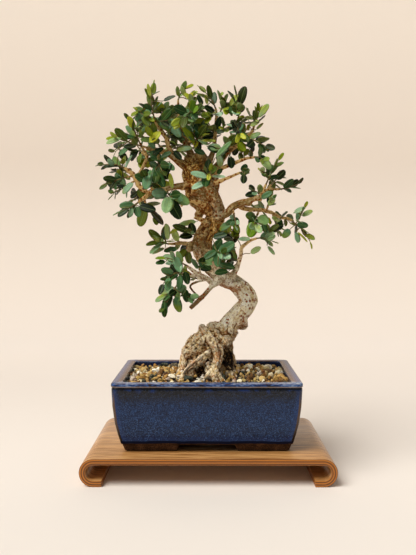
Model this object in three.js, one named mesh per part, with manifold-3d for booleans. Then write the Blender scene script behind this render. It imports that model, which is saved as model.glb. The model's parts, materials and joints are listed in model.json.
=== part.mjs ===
// An olive bonsai in a rectangular glazed pot, which stands on a low bentwood stand.
// Millimetres, +Z up. The origin is under the middle of the stand, on the surface that it stands on.
import * as THREE from "three";
import { mergeVertices } from "three/addons/utils/BufferGeometryUtils.js";
import Module from "manifold-3d";

const wasm = await Module();
wasm.setup();

// ---- Driving dimensions ----
const clearance = 0.3; // between pieces that rest on each other

const stand = { width: 264, depth: 164, height: 29, ply: 6.5, lip: 109 };
const pot = {
  x: -1.5,
  y: 6,
  base: stand.height + clearance,
  height: 74,
  width: 200,
  depth: 150,
  corner: 3,
  rim: 11,
  insideCorner: 5,
  wallTop: 72, // where the inside wall turns straight up to the rim
  fillet: 4, // between the inside wall and the floor
  floor: 12.5,
  floorInset: 20,
  footInset: 14,
  footHeight: 7.5,
  footWidth: 13,
  footCorner: 6,
  archWidth: 67,
  archTopWidth: 55,
  drainRadius: 9,
  drainSpread: 45,
};
// The outside of the pot, from the foot to the lip of the rim: [inset, height].
const potProfile = [
  [pot.footInset, 0],
  [13, 1.2],
  [10.6, 8],
  [9.2, 9.4],
  [4.8, 32],
  [1.7, 67],
  [1.2, 69.6],
  [0, 70.2],
  [0, 73.2],
  [0.8, pot.height],
];
const drainMesh = { side: 24, thickness: 1, bars: 3, opening: 5.4 };
const soil = { edge: 97.5, mound: 9.5, moundX: 58, moundY: 40 };
const gravel = { relief: 2.6, cellsX: 13, cellsY: 10, stray: 0.5, seed: 11 };
const pebbles = { count: 8, least: 3.4, most: 5.6, border: 8, rise: 0.25, seed: 12 };
const leafThickness = 1.1;
const stoutRadius = 4; // of a limb where it starts
const cutRadius = 1.3; // of a twig where a leafy shoot grows on from it
const shootTipRadius = 0.7;
const sideShootRadius = 0.9; // where a shoot starts on another one

// ---- The wood ----
// Stacked ellipses of the flared foot: [height, middle x, half width, half depth].
const footRings = [
  [86, -1, 32, 25],
  [104, -1, 32, 25],
  [118, 0, 30.5, 23],
  [126, -2, 29, 22],
  [134, 2, 26, 21],
  [141, 5, 25.5, 20],
  [148, 8, 22.5, 17],
  [155, 15, 17, 13],
  [160, 20, 10, 8],
];

// The trunk leans right, turns back on itself and swells into a burl: [x, y, z, radius].
const trunkRoute = [
  [12, 6, 141, 13],
  [18, 6, 150, 13.5],
  [25, 6, 160, 11.5],
  [34, 5, 169, 11],
  [43, 5, 180, 10.6],
  [44, 6, 189, 10.8],
  [38, 7, 199, 9.8],
  [30, 7, 205, 9.3],
  [20, 6, 208, 9.2],
  [12, 5, 214, 9.3],
  [5, 4, 223, 10.6],
  [-3, 4, 234, 10.2],
  [-8, 4, 246, 11.6],
  [-4, 5, 258, 10.2],
  [3, 6, 269, 9.3],
  [7, 6, 279, 10.2],
  [5, 6, 288, 12.2],
  [-2, 6, 297, 15.8],
  [-6, 6, 306, 19],
  [-8, 7, 316, 19.6],
  [-12, 8, 325, 18.6],
  [-18, 9, 333, 14.5],
  [-21, 9, 338, 8],
];

// Old wounds and swellings: [x, y, z, radius].
const knobs = [
  [36, 5, 155, 9.5],
  [-6, 4, 154, 5],
  [-22, -4, 138, 7],
  [-19, 1, 246, 5.5],
  [44, -11, 294, 4.8],
];

// Surface roots, which dip into the soil: [x, y, z, radius].
const roots = [
  [[-12, -8, 112, 9], [-22, -20, 105, 6.5], [-29, -31, 98, 4.5], [-33, -39, 90, 3]],
  [[2, -9, 114, 9], [4, -20, 106, 7], [9, -31, 99, 5], [12, -39, 90, 3.5]],
  [[14, -2, 114, 8], [23, -10, 106, 6], [30, -18, 98, 4.5], [34, -26, 90, 3]],
  [[-14, 5, 114, 10], [-25, 2, 106, 7], [-33, -2, 98, 5], [-38, -6, 90, 3]],
  [[16, 10, 114, 8], [25, 18, 105, 6], [31, 26, 97, 4.5], [34, 32, 90, 3]],
  [[-12, 18, 112, 9], [-22, 30, 104, 6.5], [-30, 40, 96, 4.5], [-34, 46, 90, 3]],
  [[6, 20, 112, 9], [8, 33, 104, 6.5], [12, 44, 96, 4.5], [15, 50, 90, 3]],
];

// Shallow flutes run up the wood: how many, and how deep as a share of the radius.
const footFlutes = { count: 5, depth: 0.06, drift: 0.7 };
const trunkFlutes = { count: 3, depth: 0.07, drift: 0.9 };
const trunkFlatness = 0.85; // its depth as a share of its width

// The hollow under the trunk, between two roots: [x, y, z] and its half sizes.
const hollow = { at: [21, -14, 117], half: [6.5, 10, 11] };

// Branches, each from inside the wood that carries it out to where it is cut or a shoot goes on.
const limbs = [
  [[-19, 5, 331, 7], [-32, 0, 339, 4.6], [-47, -6, 349, 3.4], [-68, -12, 353, 2.3]],
  [[-38, -2, 343, 2.4], [-44, -4, 355, 2.8], [-47, -5, 365, 2.5], [-56, -7, 378, 2.2],
    [-58, -8, 382, 1.7]],
  [[-13, 8, 334, 5.5], [-22, 10, 354, 4], [-30, 9, 376, 3], [-33, 6, 393, 2], [-34, 5, 404, 1.5]],
  [[-3, 8, 330, 5], [5, 8, 352, 2.8], [7, 8, 365, 2.4], [8, 6, 381, 2], [9, 4, 393, 1.5]],
  [[7, 7, 373, 1.3], [22, 10, 379, 1.6], [32, 12, 386, 1.4]],
  [[-1, 12, 325, 5], [14, 14, 342, 3.4], [22, 14, 352, 3], [31, 12, 359, 2.7], [41, 8, 367, 2.2],
    [49, 4, 374, 1.6]],
  [[-1, 2, 322, 4.5], [15, -6, 332, 2.5], [24, -10, 335, 2.2], [35, -14, 339, 1.9], [42, -17, 341, 1.6]],
  [[2, -3, 315, 4], [13, -12, 317, 2.2], [21, -16, 320, 1.7], [29, -19, 323, 1.5]],
  [[4, 4, 276, 7], [15, -2, 280, 5], [22, -5, 283, 4.6], [27, -7, 289, 4.4], [36, -9, 293, 4.2],
    [44, -12, 295, 3.6], [51, -14, 298, 3.3], [58, -16, 298, 3.3]],
  [[52, -14, 297, 1.6], [59, -17, 303, 1.6], [61, -17, 308, 1.5]],
  [[59, -17, 303, 1], [66, -16, 308, 1.4], [72, -14, 308, 1.3]],
  [[32, -8, 291, 2.4], [38, -5, 288, 2.7], [49, -2, 286, 2.4], [60, 2, 286, 2.2], [72, 5, 283, 2],
    [81, 6, 278, 1.8], [89, 6, 277, 1.5]],
  [[23, 4, 206, 6], [31, -2, 219, 3], [34, -5, 228, 2.5], [36, -7, 236, 2.2], [37, -9, 244, 2],
    [43, -10, 249, 1.8], [47, -11, 252, 1.6]],
  [[31, -3, 220, 1.2], [33, 2, 228, 1.4], [31, 4, 232, 1.3]],
  [[15, 1, 208, 5], [5, -6, 204, 3.4], [-1, -9, 209, 3.1], [-7, -11, 212, 2.8], [-15, -13, 217, 2.3]],
  [[-6, -11, 212, 1.6], [-16, -13, 213, 1.8], [-23, -12, 213, 1.7], [-29, -12, 210, 1.5]],
  [[13, -1, 207, 4.5], [3, -11, 200, 2.9], [-6, -15, 190, 2.6], [-20, -18, 177, 2.4]],
  [[-1, -9, 208, 1], [-13, -18, 206, 1.2], [-20, -21, 202, 1.1], [-17, -22, 196, 1.1], [-9, -22, 189, 1]],
  [[-6, 6, 246, 5], [-21, 7, 248, 2.6], [-31, 5, 249, 2], [-39, 1, 248, 1.6]],
  [[-12, 3, 313, 9], [-27, -6, 312, 4.4], [-37, -10, 311, 3.5], [-50, -13, 307, 3.1], [-62, -15, 305, 2.9],
    [-67, -16, 301, 2.8], [-72, -17, 297, 2.2]],
  [[-65, -16, 303, 2], [-75, -17, 310, 2.9], [-80, -17, 320, 2.9], [-86, -16, 327, 2.3]],
  [[-79, -17, 318, 1.6], [-71, -14, 334, 2], [-68, -12, 343, 1.8], [-71, -10, 350, 1.5]],
  [[-5, -1, 292, 5], [-14, -11, 294, 2.2], [-24, -14, 295, 1.5], [-30, -16, 289, 1.2]],
  [[-1, -1, 270, 4], [-3, -8, 272, 2.4], [-12, -12, 276, 1.7], [-16, -13, 277, 1.6]],
];

// ---- The leafy shoots ----
// Each spray is one or more shoots that hold together. A shoot's route is its start, a second point
// and its tip. The first shoot of a spray starts on the wood: up to the second point it is a woody
// spur, and from there on it is green. Any further shoots start on the first one.
const sprays = {
  tip_left: [
    { route: [[-58, -8, 382], [-60, -8, 387], [-62, -10, 415]], pairs: 4, leaf: 18, width: 0.4, turn: 20 },
    { route: [[-61, -8, 391], [-66, -14, 393], [-76, -24, 391]], pairs: 3, leaf: 14, width: 0.49, turn: 60 },
  ],
  tip_left_inner: [
    { route: [[-56, -7, 378], [-52, -2, 384], [-40, 12, 392]], pairs: 3, leaf: 21, width: 0.42, turn: 40 },
  ],
  upper_left_a: [
    { route: [[-71, -10, 350], [-75, -14, 358], [-84, -22, 381]], pairs: 3, leaf: 17, width: 0.38, turn: 0 },
    { route: [[-78, -16, 366], [-88, -8, 362], [-106, 10, 352]], pairs: 3, leaf: 16, width: 0.38, turn: 70 },
  ],
  upper_left_b: [
    { route: [[-66, -12, 353], [-72, -18, 354], [-98, -38, 360]], pairs: 3, leaf: 17, width: 0.4, turn: 30 },
  ],
  left_a: [
    { route: [[-86, -16, 327], [-92, -16, 331], [-115, -14, 335]], pairs: 3, leaf: 16, width: 0.4, turn: 50 },
  ],
  left_b: [
    { route: [[-83, -17, 322], [-88, -26, 320], [-107, -42, 311]], pairs: 3, leaf: 17, width: 0.4, turn: 10 },
  ],
  left_c: [
    { route: [[-79, -17, 318], [-87, -8, 314], [-107, 8, 306]], pairs: 3, leaf: 17, width: 0.44, turn: 80 },
  ],
  left_d: [
    { route: [[-72, -17, 297], [-77, -18, 293], [-93, -24, 284]], pairs: 3, leaf: 17, width: 0.44, turn: 25 },
  ],
  left_e: [
    { route: [[-70, -16, 298], [-70, -8, 292], [-62, 8, 280]], pairs: 3, leaf: 22, width: 0.42, turn: 45 },
  ],
  mid_left_a: [
    { route: [[-54, -8, 350], [-55, -18, 342], [-49, -40, 325]], pairs: 3, leaf: 22, width: 0.46, turn: 35 },
  ],
  mid_left_b: [
    { route: [[-47, -6, 349], [-53, -13, 355], [-61, -28, 363]], pairs: 3, leaf: 20, width: 0.44, turn: 15 },
  ],
  mid_a: [
    { route: [[-48, -13, 308], [-45, -21, 304], [-38, -42, 296]], pairs: 3, leaf: 25, width: 0.42, turn: 65 },
  ],
  mid_b: [
    { route: [[-62, -15, 306], [-62, -24, 310], [-66, -42, 318]], pairs: 3, leaf: 18, width: 0.54, turn: 0 },
  ],
  top_b: [
    { route: [[-34, 5, 404], [-34, 5, 409], [-26, 4, 421]], pairs: 3, leaf: 16, width: 0.36, turn: 75 },
  ],
  top_b_side: [
    { route: [[-31, 8, 381], [-26, 4, 386], [-16, -6, 393]], pairs: 3, leaf: 19, width: 0.4, turn: 30 },
  ],
  top_b_front: [
    { route: [[-25, 10, 363], [-19, 1, 363], [-5, -20, 365]], pairs: 3, leaf: 20, width: 0.42, turn: 5 },
  ],
  top_c: [
    { route: [[9, 4, 393], [8, 3, 399], [-3, 0, 416]], pairs: 3, leaf: 18, width: 0.36, turn: 55 },
  ],
  top_c_side: [
    { route: [[8, 5, 388], [13, 11, 396], [15, 22, 418]], pairs: 3, leaf: 19, width: 0.42, turn: 20 },
  ],
  top_right_a: [
    { route: [[32, 12, 386], [34, 12, 391], [32, 8, 413]], pairs: 3, leaf: 20, width: 0.44, turn: 85 },
  ],
  top_right_b: [
    { route: [[49, 4, 374], [51, 3, 379], [56, -4, 394]], pairs: 3, leaf: 17, width: 0.42, turn: 40 },
  ],
  top_right_c: [
    { route: [[29, 12, 358], [23, 1, 356], [9, -26, 350]], pairs: 3, leaf: 20, width: 0.44, turn: 60 },
  ],
  top_right_d: [
    { route: [[42, 8, 367], [48, -2, 364], [61, -22, 354]], pairs: 3, leaf: 18, width: 0.5, turn: 10 },
  ],
  top_right_e: [
    { route: [[36, 10, 363], [35, -1, 368], [31, -22, 375]], pairs: 3, leaf: 16, width: 0.46, turn: 50 },
  ],
  top_right_f: [
    { route: [[42, -17, 341], [50, -22, 342], [58, -38, 337]], pairs: 3, leaf: 16, width: 0.46, turn: 30 },
  ],
  centre: [
    { route: [[-4, -8, 316], [-3, -18, 320], [3, -44, 324]], pairs: 3, leaf: 20, width: 0.38, turn: 0 },
  ],
  centre_right: [
    { route: [[29, -19, 323], [34, -22, 325], [41, -32, 326]], pairs: 3, leaf: 10, width: 0.64, turn: 70 },
  ],
  right_up_a: [
    { route: [[61, -17, 308], [63, -17, 313], [76, -20, 339]], pairs: 4, leaf: 14, width: 0.42, turn: 25 },
    { route: [[67, -18, 321], [63, -24, 323], [55, -38, 326]], pairs: 3, leaf: 9, width: 0.69, turn: 10 },
  ],
  right_up_c: [
    { route: [[72, -14, 308], [78, -13, 308], [99, -8, 314]], pairs: 3, leaf: 14, width: 0.42, turn: 55 },
  ],
  right_up_d: [
    { route: [[59, -17, 303], [55, -24, 303], [47, -42, 305]], pairs: 3, leaf: 14, width: 0.46, turn: 20 },
  ],
  right_a: [
    { route: [[89, 6, 277], [94, 5, 274], [114, -2, 251]], pairs: 4, leaf: 14, width: 0.46, turn: 35 },
    { route: [[98, 4, 270], [102, -3, 276], [106, -14, 288]], pairs: 3, leaf: 14, width: 0.46, turn: 0 },
  ],
  right_c: [
    { route: [[57, 1, 286], [54, -9, 280], [49, -34, 268]], pairs: 3, leaf: 20, width: 0.5, turn: 75 },
  ],
  right_d: [
    { route: [[72, 5, 283], [75, 12, 276], [82, 28, 264]], pairs: 3, leaf: 16, width: 0.46, turn: 15 },
  ],
  right_e: [
    { route: [[65, 3, 285], [66, -6, 290], [70, -26, 297]], pairs: 3, leaf: 13, width: 0.44, turn: 45 },
  ],
  under_right: [
    { route: [[27, -7, 288], [28, -14, 281], [30, -30, 266]], pairs: 3, leaf: 10, width: 0.54, turn: 40 },
  ],
  front_centre: [
    { route: [[-4, -5, 241], [2, -15, 240], [13, -42, 238]], pairs: 3, leaf: 21, width: 0.44, turn: 60 },
  ],
  hook_end: [
    { route: [[47, -11, 252], [53, -12, 254], [68, -18, 252]], pairs: 3, leaf: 16, width: 0.38, turn: 30 },
  ],
  hook_back: [
    { route: [[31, 4, 232], [30, 10, 240], [27, 26, 253]], pairs: 3, leaf: 13, width: 0.4, turn: 0 },
  ],
  low_left_a: [
    { route: [[-39, 1, 248], [-45, -1, 248], [-57, -12, 252]], pairs: 4, leaf: 19, width: 0.36, turn: 15 },
  ],
  low_left_b: [
    { route: [[-6, -3, 254], [-14, -14, 257], [-24, -38, 264]], pairs: 3, leaf: 18, width: 0.4, turn: 50 },
  ],
  low_a: [
    { route: [[-15, -13, 217], [-24, -16, 224], [-47, -26, 233]], pairs: 3, leaf: 18, width: 0.44, turn: 5 },
  ],
  low_b: [
    { route: [[-8, -11, 212], [-10, -22, 220], [-5, -42, 227]], pairs: 3, leaf: 19, width: 0.42, turn: 80 },
  ],
  low_d: [
    { route: [[-29, -12, 210], [-33, -13, 205], [-48, -24, 179]], pairs: 4, leaf: 19, width: 0.44, turn: 20 },
    { route: [[-38, -15, 199], [-34, -22, 196], [-20, -36, 190]], pairs: 3, leaf: 17, width: 0.52, turn: 55 },
  ],
  low_c: [
    { route: [[-23, -12, 213], [-29, -20, 216], [-44, -40, 211]], pairs: 3, leaf: 18, width: 0.42, turn: 30 },
  ],
  upper_left_back: [
    { route: [[-68, -12, 344], [-74, 2, 350], [-92, 44, 380]], pairs: 3, leaf: 18, width: 0.4, turn: 30 },
  ],
  left_back: [
    { route: [[-84, -17, 324], [-90, -4, 328], [-108, 48, 336]], pairs: 4, leaf: 17, width: 0.4, turn: 0 },
  ],
  left_back_low: [
    { route: [[-75, -17, 309], [-78, -4, 306], [-92, 42, 296]], pairs: 3, leaf: 18, width: 0.42, turn: 60 },
  ],
  mid_left_back: [
    { route: [[-24, 10, 359], [-31, 20, 360], [-52, 48, 354]], pairs: 3, leaf: 20, width: 0.4, turn: 20 },
  ],
  top_b_back: [
    { route: [[-32, 7, 387], [-35, 17, 393], [-42, 46, 408]], pairs: 3, leaf: 18, width: 0.4, turn: 45 },
  ],
  top_right_back: [
    { route: [[31, 12, 359], [35, 22, 366], [50, 54, 392]], pairs: 4, leaf: 19, width: 0.42, turn: 10 },
  ],
  right_up_back: [
    { route: [[66, -16, 309], [69, -6, 313], [88, 40, 330]], pairs: 4, leaf: 17, width: 0.42, turn: 50 },
  ],
  right_back: [
    { route: [[81, 6, 278], [84, 16, 279], [98, 54, 274]], pairs: 3, leaf: 16, width: 0.46, turn: 25 },
  ],
  low_left_back: [
    { route: [[-25, 6, 249], [-31, 16, 250], [-42, 48, 254]], pairs: 3, leaf: 19, width: 0.4, turn: 70 },
  ],
  low_back: [
    { route: [[-1, -9, 209], [-12, -2, 209], [-32, 36, 215]], pairs: 3, leaf: 18, width: 0.42, turn: 15 },
  ],
};

// How leaves stand on their shoot, and how far they keep from what isn't theirs. Angles in degrees.
const leafRule = {
  seed: 7,
  firstPair: 0.2, // share of the shoot's length below the first pair
  lastPair: 0.97, // and below the last pair
  open: 62, // between a leaf and its shoot, at the shoot's start
  openAtTip: 26,
  quarterTurn: 90, // from one pair to the next
  scatter: { turn: 16, open: 16, twist: 25.6, length: 0.18, bend: 0.12 },
  young: 0.6, // share of the shoot's length from where leaves get smaller
  youth: 0.35, // by how much the last are shorter
  fold: 0.22, // how far the edges stand above the midrib, as a share of the half width
  seat: 0.2, // of a leaf's base from the middle line of its shoot
  small: 17, // shorter leaves have a plainer outline
  gap: 2.1,
  gapInSpray: 2.2,
  ownBase: 0.2, // share of a leaf's length in which it may come near others of its spray
  woodBase: 0.4, // distance along the leaf up to which nothing else counts
  tries: 18,
  swing: { turn: 17, open: 11, shrink: 0.035 }, // from one try to the next
  reachX: 129,
  reachY: 78,
  top: 430,
};

// ---- Materials ----
function finish(color, roughness, metalness = 0) {
  return new THREE.MeshStandardMaterial({ color, roughness, metalness });
}
const materials = {
  ply: finish(0xcda573, 0.45),
  glaze: finish(0x2d416e, 0.2),
  soil: finish(0x9c7b55, 0.95),
  mesh: finish(0x2a2c2e, 0.6),
  bark: finish(0xa08058, 0.9),
  leaf: finish(0x4b7048, 0.5),
};

// ---- Geometry helpers ----
const vec = ([x, y, z]) => new THREE.Vector3(x, y, z);
const radians = THREE.MathUtils.degToRad;

// A closed surface through rings of points with the same count. A ring of one point is a tip,
// and a first or last ring of several points is closed with a fan.
function loft(rings) {
  const positions = [];
  const index = [];
  const starts = rings.map((ring) => {
    const start = positions.length / 3;
    ring.forEach((p) => positions.push(p.x, p.y, p.z));
    return start;
  });
  for (let i = 0; i + 1 < rings.length; i++) {
    const [a, b] = [rings[i].length, rings[i + 1].length];
    const count = Math.max(a, b);
    for (let j = 0; j < count; j++) {
      const next = (j + 1) % count;
      const [a0, a1] = [starts[i] + (j % a), starts[i] + (next % a)];
      const [b0, b1] = [starts[i + 1] + (j % b), starts[i + 1] + (next % b)];
      if (a > 1) index.push(a0, a1, b1);
      if (b > 1) index.push(a0, b1, b0);
    }
  }
  for (let j = 1; j + 1 < rings[0].length; j++) index.push(starts[0], starts[0] + j + 1, starts[0] + j);
  const top = starts.at(-1);
  for (let j = 1; j + 1 < rings.at(-1).length; j++) index.push(top, top + j, top + j + 1);
  const geometry = new THREE.BufferGeometry();
  geometry.setAttribute("position", new THREE.Float32BufferAttribute(positions, 3));
  return geometry.setIndex(index);
}

// A geometry as a solid, turned the right way out.
function solid(geometry) {
  const bare = geometry.clone();
  bare.deleteAttribute("normal");
  bare.deleteAttribute("uv");
  const merged = mergeVertices(bare, 1e-4);
  const vertProperties = new Float32Array(merged.attributes.position.array);
  const triVerts = new Uint32Array(merged.index.array);
  const make = () => new wasm.Manifold(new wasm.Mesh({ numProp: 3, vertProperties, triVerts }));
  const made = make();
  if (made.volume() > 0) return made;
  for (let i = 0; i < triVerts.length; i += 3) {
    [triVerts[i + 1], triVerts[i + 2]] = [triVerts[i + 2], triVerts[i + 1]];
  }
  return make();
}

// Solids joined in one, without any loose scrap.
function joined(solids) {
  return largest(solids.reduce((all, one) => all.add(one)));
}

function largest(shape) {
  return shape.decompose().reduce((most, one) => (one.volume() > most.volume() ? one : most));
}

function named(name, shape, material) {
  const made = shape.getMesh();
  const geometry = new THREE.BufferGeometry();
  geometry.setAttribute("position", new THREE.BufferAttribute(made.vertProperties, 3));
  geometry.setIndex(new THREE.BufferAttribute(made.triVerts, 1));
  geometry.computeVertexNormals();
  const mesh = new THREE.Mesh(geometry, material);
  mesh.name = name;
  return mesh;
}

// Numbers from 0 to 1 that are the same in every run.
function seeded(seed) {
  let state = seed >>> 0;
  return () => {
    state = (state + 0x6d2b79f5) >>> 0;
    let t = Math.imul(state ^ (state >>> 15), state | 1);
    t ^= t + Math.imul(t ^ (t >>> 7), t | 61);
    return ((t ^ (t >>> 14)) >>> 0) / 4294967296;
  };
}

// How much a fluted limb swells at an angle round its ring number i, as a share of its radius.
function fluting({ count, depth, drift }, angle, i) {
  return depth * Math.sin(count * angle + drift * i);
}

// A limb as a closed tube through its points [x, y, z, radius], grown by `grow` all round.
// Its cross-section is `flat` times as deep as it is wide.
function limb(points, { sides = 5, flat = 1, flutes = null, grow = 0 } = {}) {
  const path = points.map(vec);
  const last = path.length - 1;
  let across = new THREE.Vector3();
  const rings = path.map((p, i) => {
    const along = path[Math.min(i + 1, last)].clone().sub(path[Math.max(i - 1, 0)]).normalize();
    if (i === 0) across.crossVectors(Math.abs(along.y) > 0.8 ? vec([0, 0, 1]) : vec([0, 1, 0]), along);
    across = across.addScaledVector(along, -across.dot(along)).normalize();
    const deep = new THREE.Vector3().crossVectors(along, across);
    const end = i === 0 ? -grow : i === last ? grow : 0;
    return Array.from({ length: sides }, (_, k) => {
      const angle = (2 * Math.PI * k) / sides;
      const radius = points[i][3] * (1 + (flutes ? fluting(flutes, angle, i) : 0)) + grow;
      return p
        .clone()
        .addScaledVector(along, end)
        .addScaledVector(across, radius * Math.cos(angle))
        .addScaledVector(deep, flat * radius * Math.sin(angle));
    });
  });
  return solid(loft(rings));
}

// ---- Stand: one board of bent plywood, rolled under at both ends ----
function standSolid() {
  const outer = stand.height / 2;
  const inner = outer - stand.ply;
  const rollX = stand.width / 2 - outer;
  const outline = new THREE.Shape();
  outline.moveTo(-rollX, stand.height);
  outline.lineTo(rollX, stand.height);
  outline.absarc(rollX, outer, outer, Math.PI / 2, -Math.PI / 2, true);
  outline.lineTo(stand.lip, 0);
  outline.lineTo(stand.lip + 0.6, stand.ply);
  outline.lineTo(rollX, stand.ply);
  outline.absarc(rollX, outer, inner, -Math.PI / 2, Math.PI / 2, false);
  outline.lineTo(-rollX, stand.height - stand.ply);
  outline.absarc(-rollX, outer, inner, Math.PI / 2, (3 * Math.PI) / 2, false);
  outline.lineTo(-stand.lip - 0.6, stand.ply);
  outline.lineTo(-stand.lip, 0);
  outline.lineTo(-rollX, 0);
  outline.absarc(-rollX, outer, outer, (3 * Math.PI) / 2, Math.PI / 2, true);
  const geometry = new THREE.ExtrudeGeometry(outline, {
    depth: stand.depth,
    bevelEnabled: false,
    curveSegments: 8,
  });
  geometry.rotateX(Math.PI / 2);
  geometry.translate(0, stand.depth / 2, 0);
  return solid(geometry);
}

// ---- Pot ----
// A rounded rectangle around the pot's middle at a height above its base.
function potRing(inset, height, corner = pot.corner) {
  const [hx, hy] = [pot.width / 2 - inset, pot.depth / 2 - inset];
  const steps = 3;
  const points = [];
  [[1, 1], [-1, 1], [-1, -1], [1, -1]].forEach(([sx, sy], quarter) => {
    for (let k = 0; k < steps; k++) {
      const angle = (quarter + k / (steps - 1)) * (Math.PI / 2);
      const x = pot.x + sx * (hx - corner) + corner * Math.cos(angle);
      const y = pot.y + sy * (hy - corner) + corner * Math.sin(angle);
      points.push(new THREE.Vector3(x, y, pot.base + height));
    }
  });
  return points;
}

// The pot's inside, `shrink` smaller all round.
function cavity(shrink, top) {
  return solid(
    loft([
      potRing(pot.floorInset + shrink, pot.floor + shrink, pot.insideCorner),
      potRing(pot.floorInset - 3 + shrink, pot.floor + pot.fillet + shrink, pot.insideCorner),
      potRing(pot.rim + shrink, pot.wallTop, pot.insideCorner),
      potRing(pot.rim + shrink, pot.height + top, pot.insideCorner),
    ]),
  );
}

function potSolid() {
  const body = solid(loft(potProfile.map(([inset, height]) => potRing(inset, height))));
  const depth = pot.depth;
  const arch = new THREE.Shape();
  arch.moveTo(-pot.archWidth / 2, -1);
  arch.lineTo(pot.archWidth / 2, -1);
  arch.lineTo(pot.archTopWidth / 2, pot.footHeight);
  arch.lineTo(-pot.archTopWidth / 2, pot.footHeight);
  const archCut = new THREE.ExtrudeGeometry(arch, { depth, bevelEnabled: false });
  archCut.rotateX(Math.PI / 2);
  archCut.translate(pot.x, pot.y + depth / 2, pot.base);
  const inset = pot.footInset + pot.footWidth;
  const under = loft([-1, pot.footHeight].map((height) => potRing(inset, height, pot.footCorner)));
  let made = body.subtract(cavity(0, 1)).subtract(solid(under)).subtract(solid(archCut));
  for (const side of [-1, 1]) {
    const drain = new THREE.CylinderGeometry(pot.drainRadius, pot.drainRadius, 2 * pot.floor, 12);
    drain.rotateX(Math.PI / 2);
    drain.translate(pot.x + side * pot.drainSpread, pot.y, pot.base + pot.floor);
    made = made.subtract(solid(drain));
  }
  return made;
}

// ---- Drain meshes: plastic lattices that keep the soil in over the drain holes ----
function drainMeshSolid(side) {
  const { side: width, thickness, bars, opening } = drainMesh;
  const middle = [pot.x + side * pot.drainSpread, pot.y, pot.base + pot.floor + clearance + thickness / 2];
  const plate = new THREE.BoxGeometry(width, width, thickness);
  let made = solid(plate.translate(...middle));
  const pitch = width / bars;
  for (let i = 0; i < bars; i++) {
    for (let j = 0; j < bars; j++) {
      const hole = new THREE.BoxGeometry(opening, opening, 2 * thickness);
      hole.translate(...middle).translate(pitch * (i - (bars - 1) / 2), pitch * (j - (bars - 1) / 2), 0);
      made = made.subtract(solid(hole));
    }
  }
  return made;
}

// ---- Soil: fills the pot, mounded to the trunk and covered in gravel ----
function soilHeight(x, y) {
  const near = Math.exp(-((x / soil.moundX) ** 2) - ((y - pot.y) / soil.moundY) ** 2);
  return soil.edge + soil.mound * near;
}

// A block whose top is a field of stones: each cell of a jittered grid rises to a blunt peak.
function gravelBlock() {
  const draw = seeded(gravel.seed);
  const { cellsX, cellsY, relief } = gravel;
  const positions = [];
  const index = [];
  const [width, depth] = [pot.width - 2, pot.depth - 2];
  const point = (x, y, z) => positions.push(x, y, z) / 3 - 1;
  const corners = [];
  for (let j = 0; j <= cellsY; j++) {
    for (let i = 0; i <= cellsX; i++) {
      const edge = i === 0 || j === 0 || i === cellsX || j === cellsY;
      const stray = edge ? 0 : gravel.stray;
      const x = pot.x + width * ((i + stray * (draw() - 0.5)) / cellsX - 0.5);
      const y = pot.y + depth * ((j + stray * (draw() - 0.5)) / cellsY - 0.5);
      corners.push(point(x, y, soilHeight(x, y) - relief * draw()));
    }
  }
  const at = (i, j) => corners[j * (cellsX + 1) + i];
  for (let j = 0; j < cellsY; j++) {
    for (let i = 0; i < cellsX; i++) {
      const x = pot.x + width * ((i + 0.35 + 0.3 * draw()) / cellsX - 0.5);
      const y = pot.y + depth * ((j + 0.35 + 0.3 * draw()) / cellsY - 0.5);
      const peak = point(x, y, soilHeight(x, y) + relief * (0.4 + 0.6 * draw()));
      const ring = [at(i, j), at(i + 1, j), at(i + 1, j + 1), at(i, j + 1)];
      ring.forEach((corner, k) => index.push(corner, ring[(k + 1) % 4], peak));
    }
  }
  const bottom = pot.base + pot.floor - 2;
  const border = [];
  for (let i = 0; i < cellsX; i++) border.push(at(i, 0));
  for (let j = 0; j < cellsY; j++) border.push(at(cellsX, j));
  for (let i = cellsX; i > 0; i--) border.push(at(i, cellsY));
  for (let j = cellsY; j > 0; j--) border.push(at(0, j));
  const low = border.map((c) => point(positions[3 * c], positions[3 * c + 1], bottom));
  const middle = point(pot.x, pot.y, bottom);
  border.forEach((c, k) => {
    const next = (k + 1) % border.length;
    index.push(c, low[k], low[next], c, low[next], border[next], low[k], middle, low[next]);
  });
  const geometry = new THREE.BufferGeometry();
  geometry.setAttribute("position", new THREE.Float32BufferAttribute(positions, 3));
  return solid(geometry.setIndex(index));
}

// Larger stones that lie on the gravel, sunk a little into it.
function pebbleSolids() {
  const draw = seeded(pebbles.seed);
  return Array.from({ length: pebbles.count }, () => {
    const x = pot.x + (draw() - 0.5) * (pot.width - 2 * (pot.rim + pebbles.border));
    const y = pot.y + (draw() - 0.5) * (pot.depth - 2 * (pot.rim + pebbles.border));
    const size = pebbles.least + (pebbles.most - pebbles.least) * draw();
    const stone = new THREE.IcosahedronGeometry(size, 0);
    stone.scale(1 + 0.3 * draw(), 0.8 + 0.3 * draw(), 0.65);
    stone.rotateZ(2 * Math.PI * draw());
    stone.translate(x, y, soilHeight(x, y) + size * pebbles.rise);
    return solid(stone);
  });
}

function soilSolid() {
  const pocket = (side) => {
    const half = drainMesh.side / 2 + clearance;
    const box = new THREE.BoxGeometry(2 * half, 2 * half, 2 * (drainMesh.thickness + 2 * clearance));
    box.translate(pot.x + side * pot.drainSpread, pot.y, pot.base + pot.floor + clearance);
    return solid(box);
  };
  const filled = joined([gravelBlock(), ...pebbleSolids()])
    .intersect(cavity(clearance, soil.mound))
    .subtract(footSolid(clearance + 0.1))
    .subtract(pocket(-1))
    .subtract(pocket(1));
  return largest(filled);
}

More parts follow.
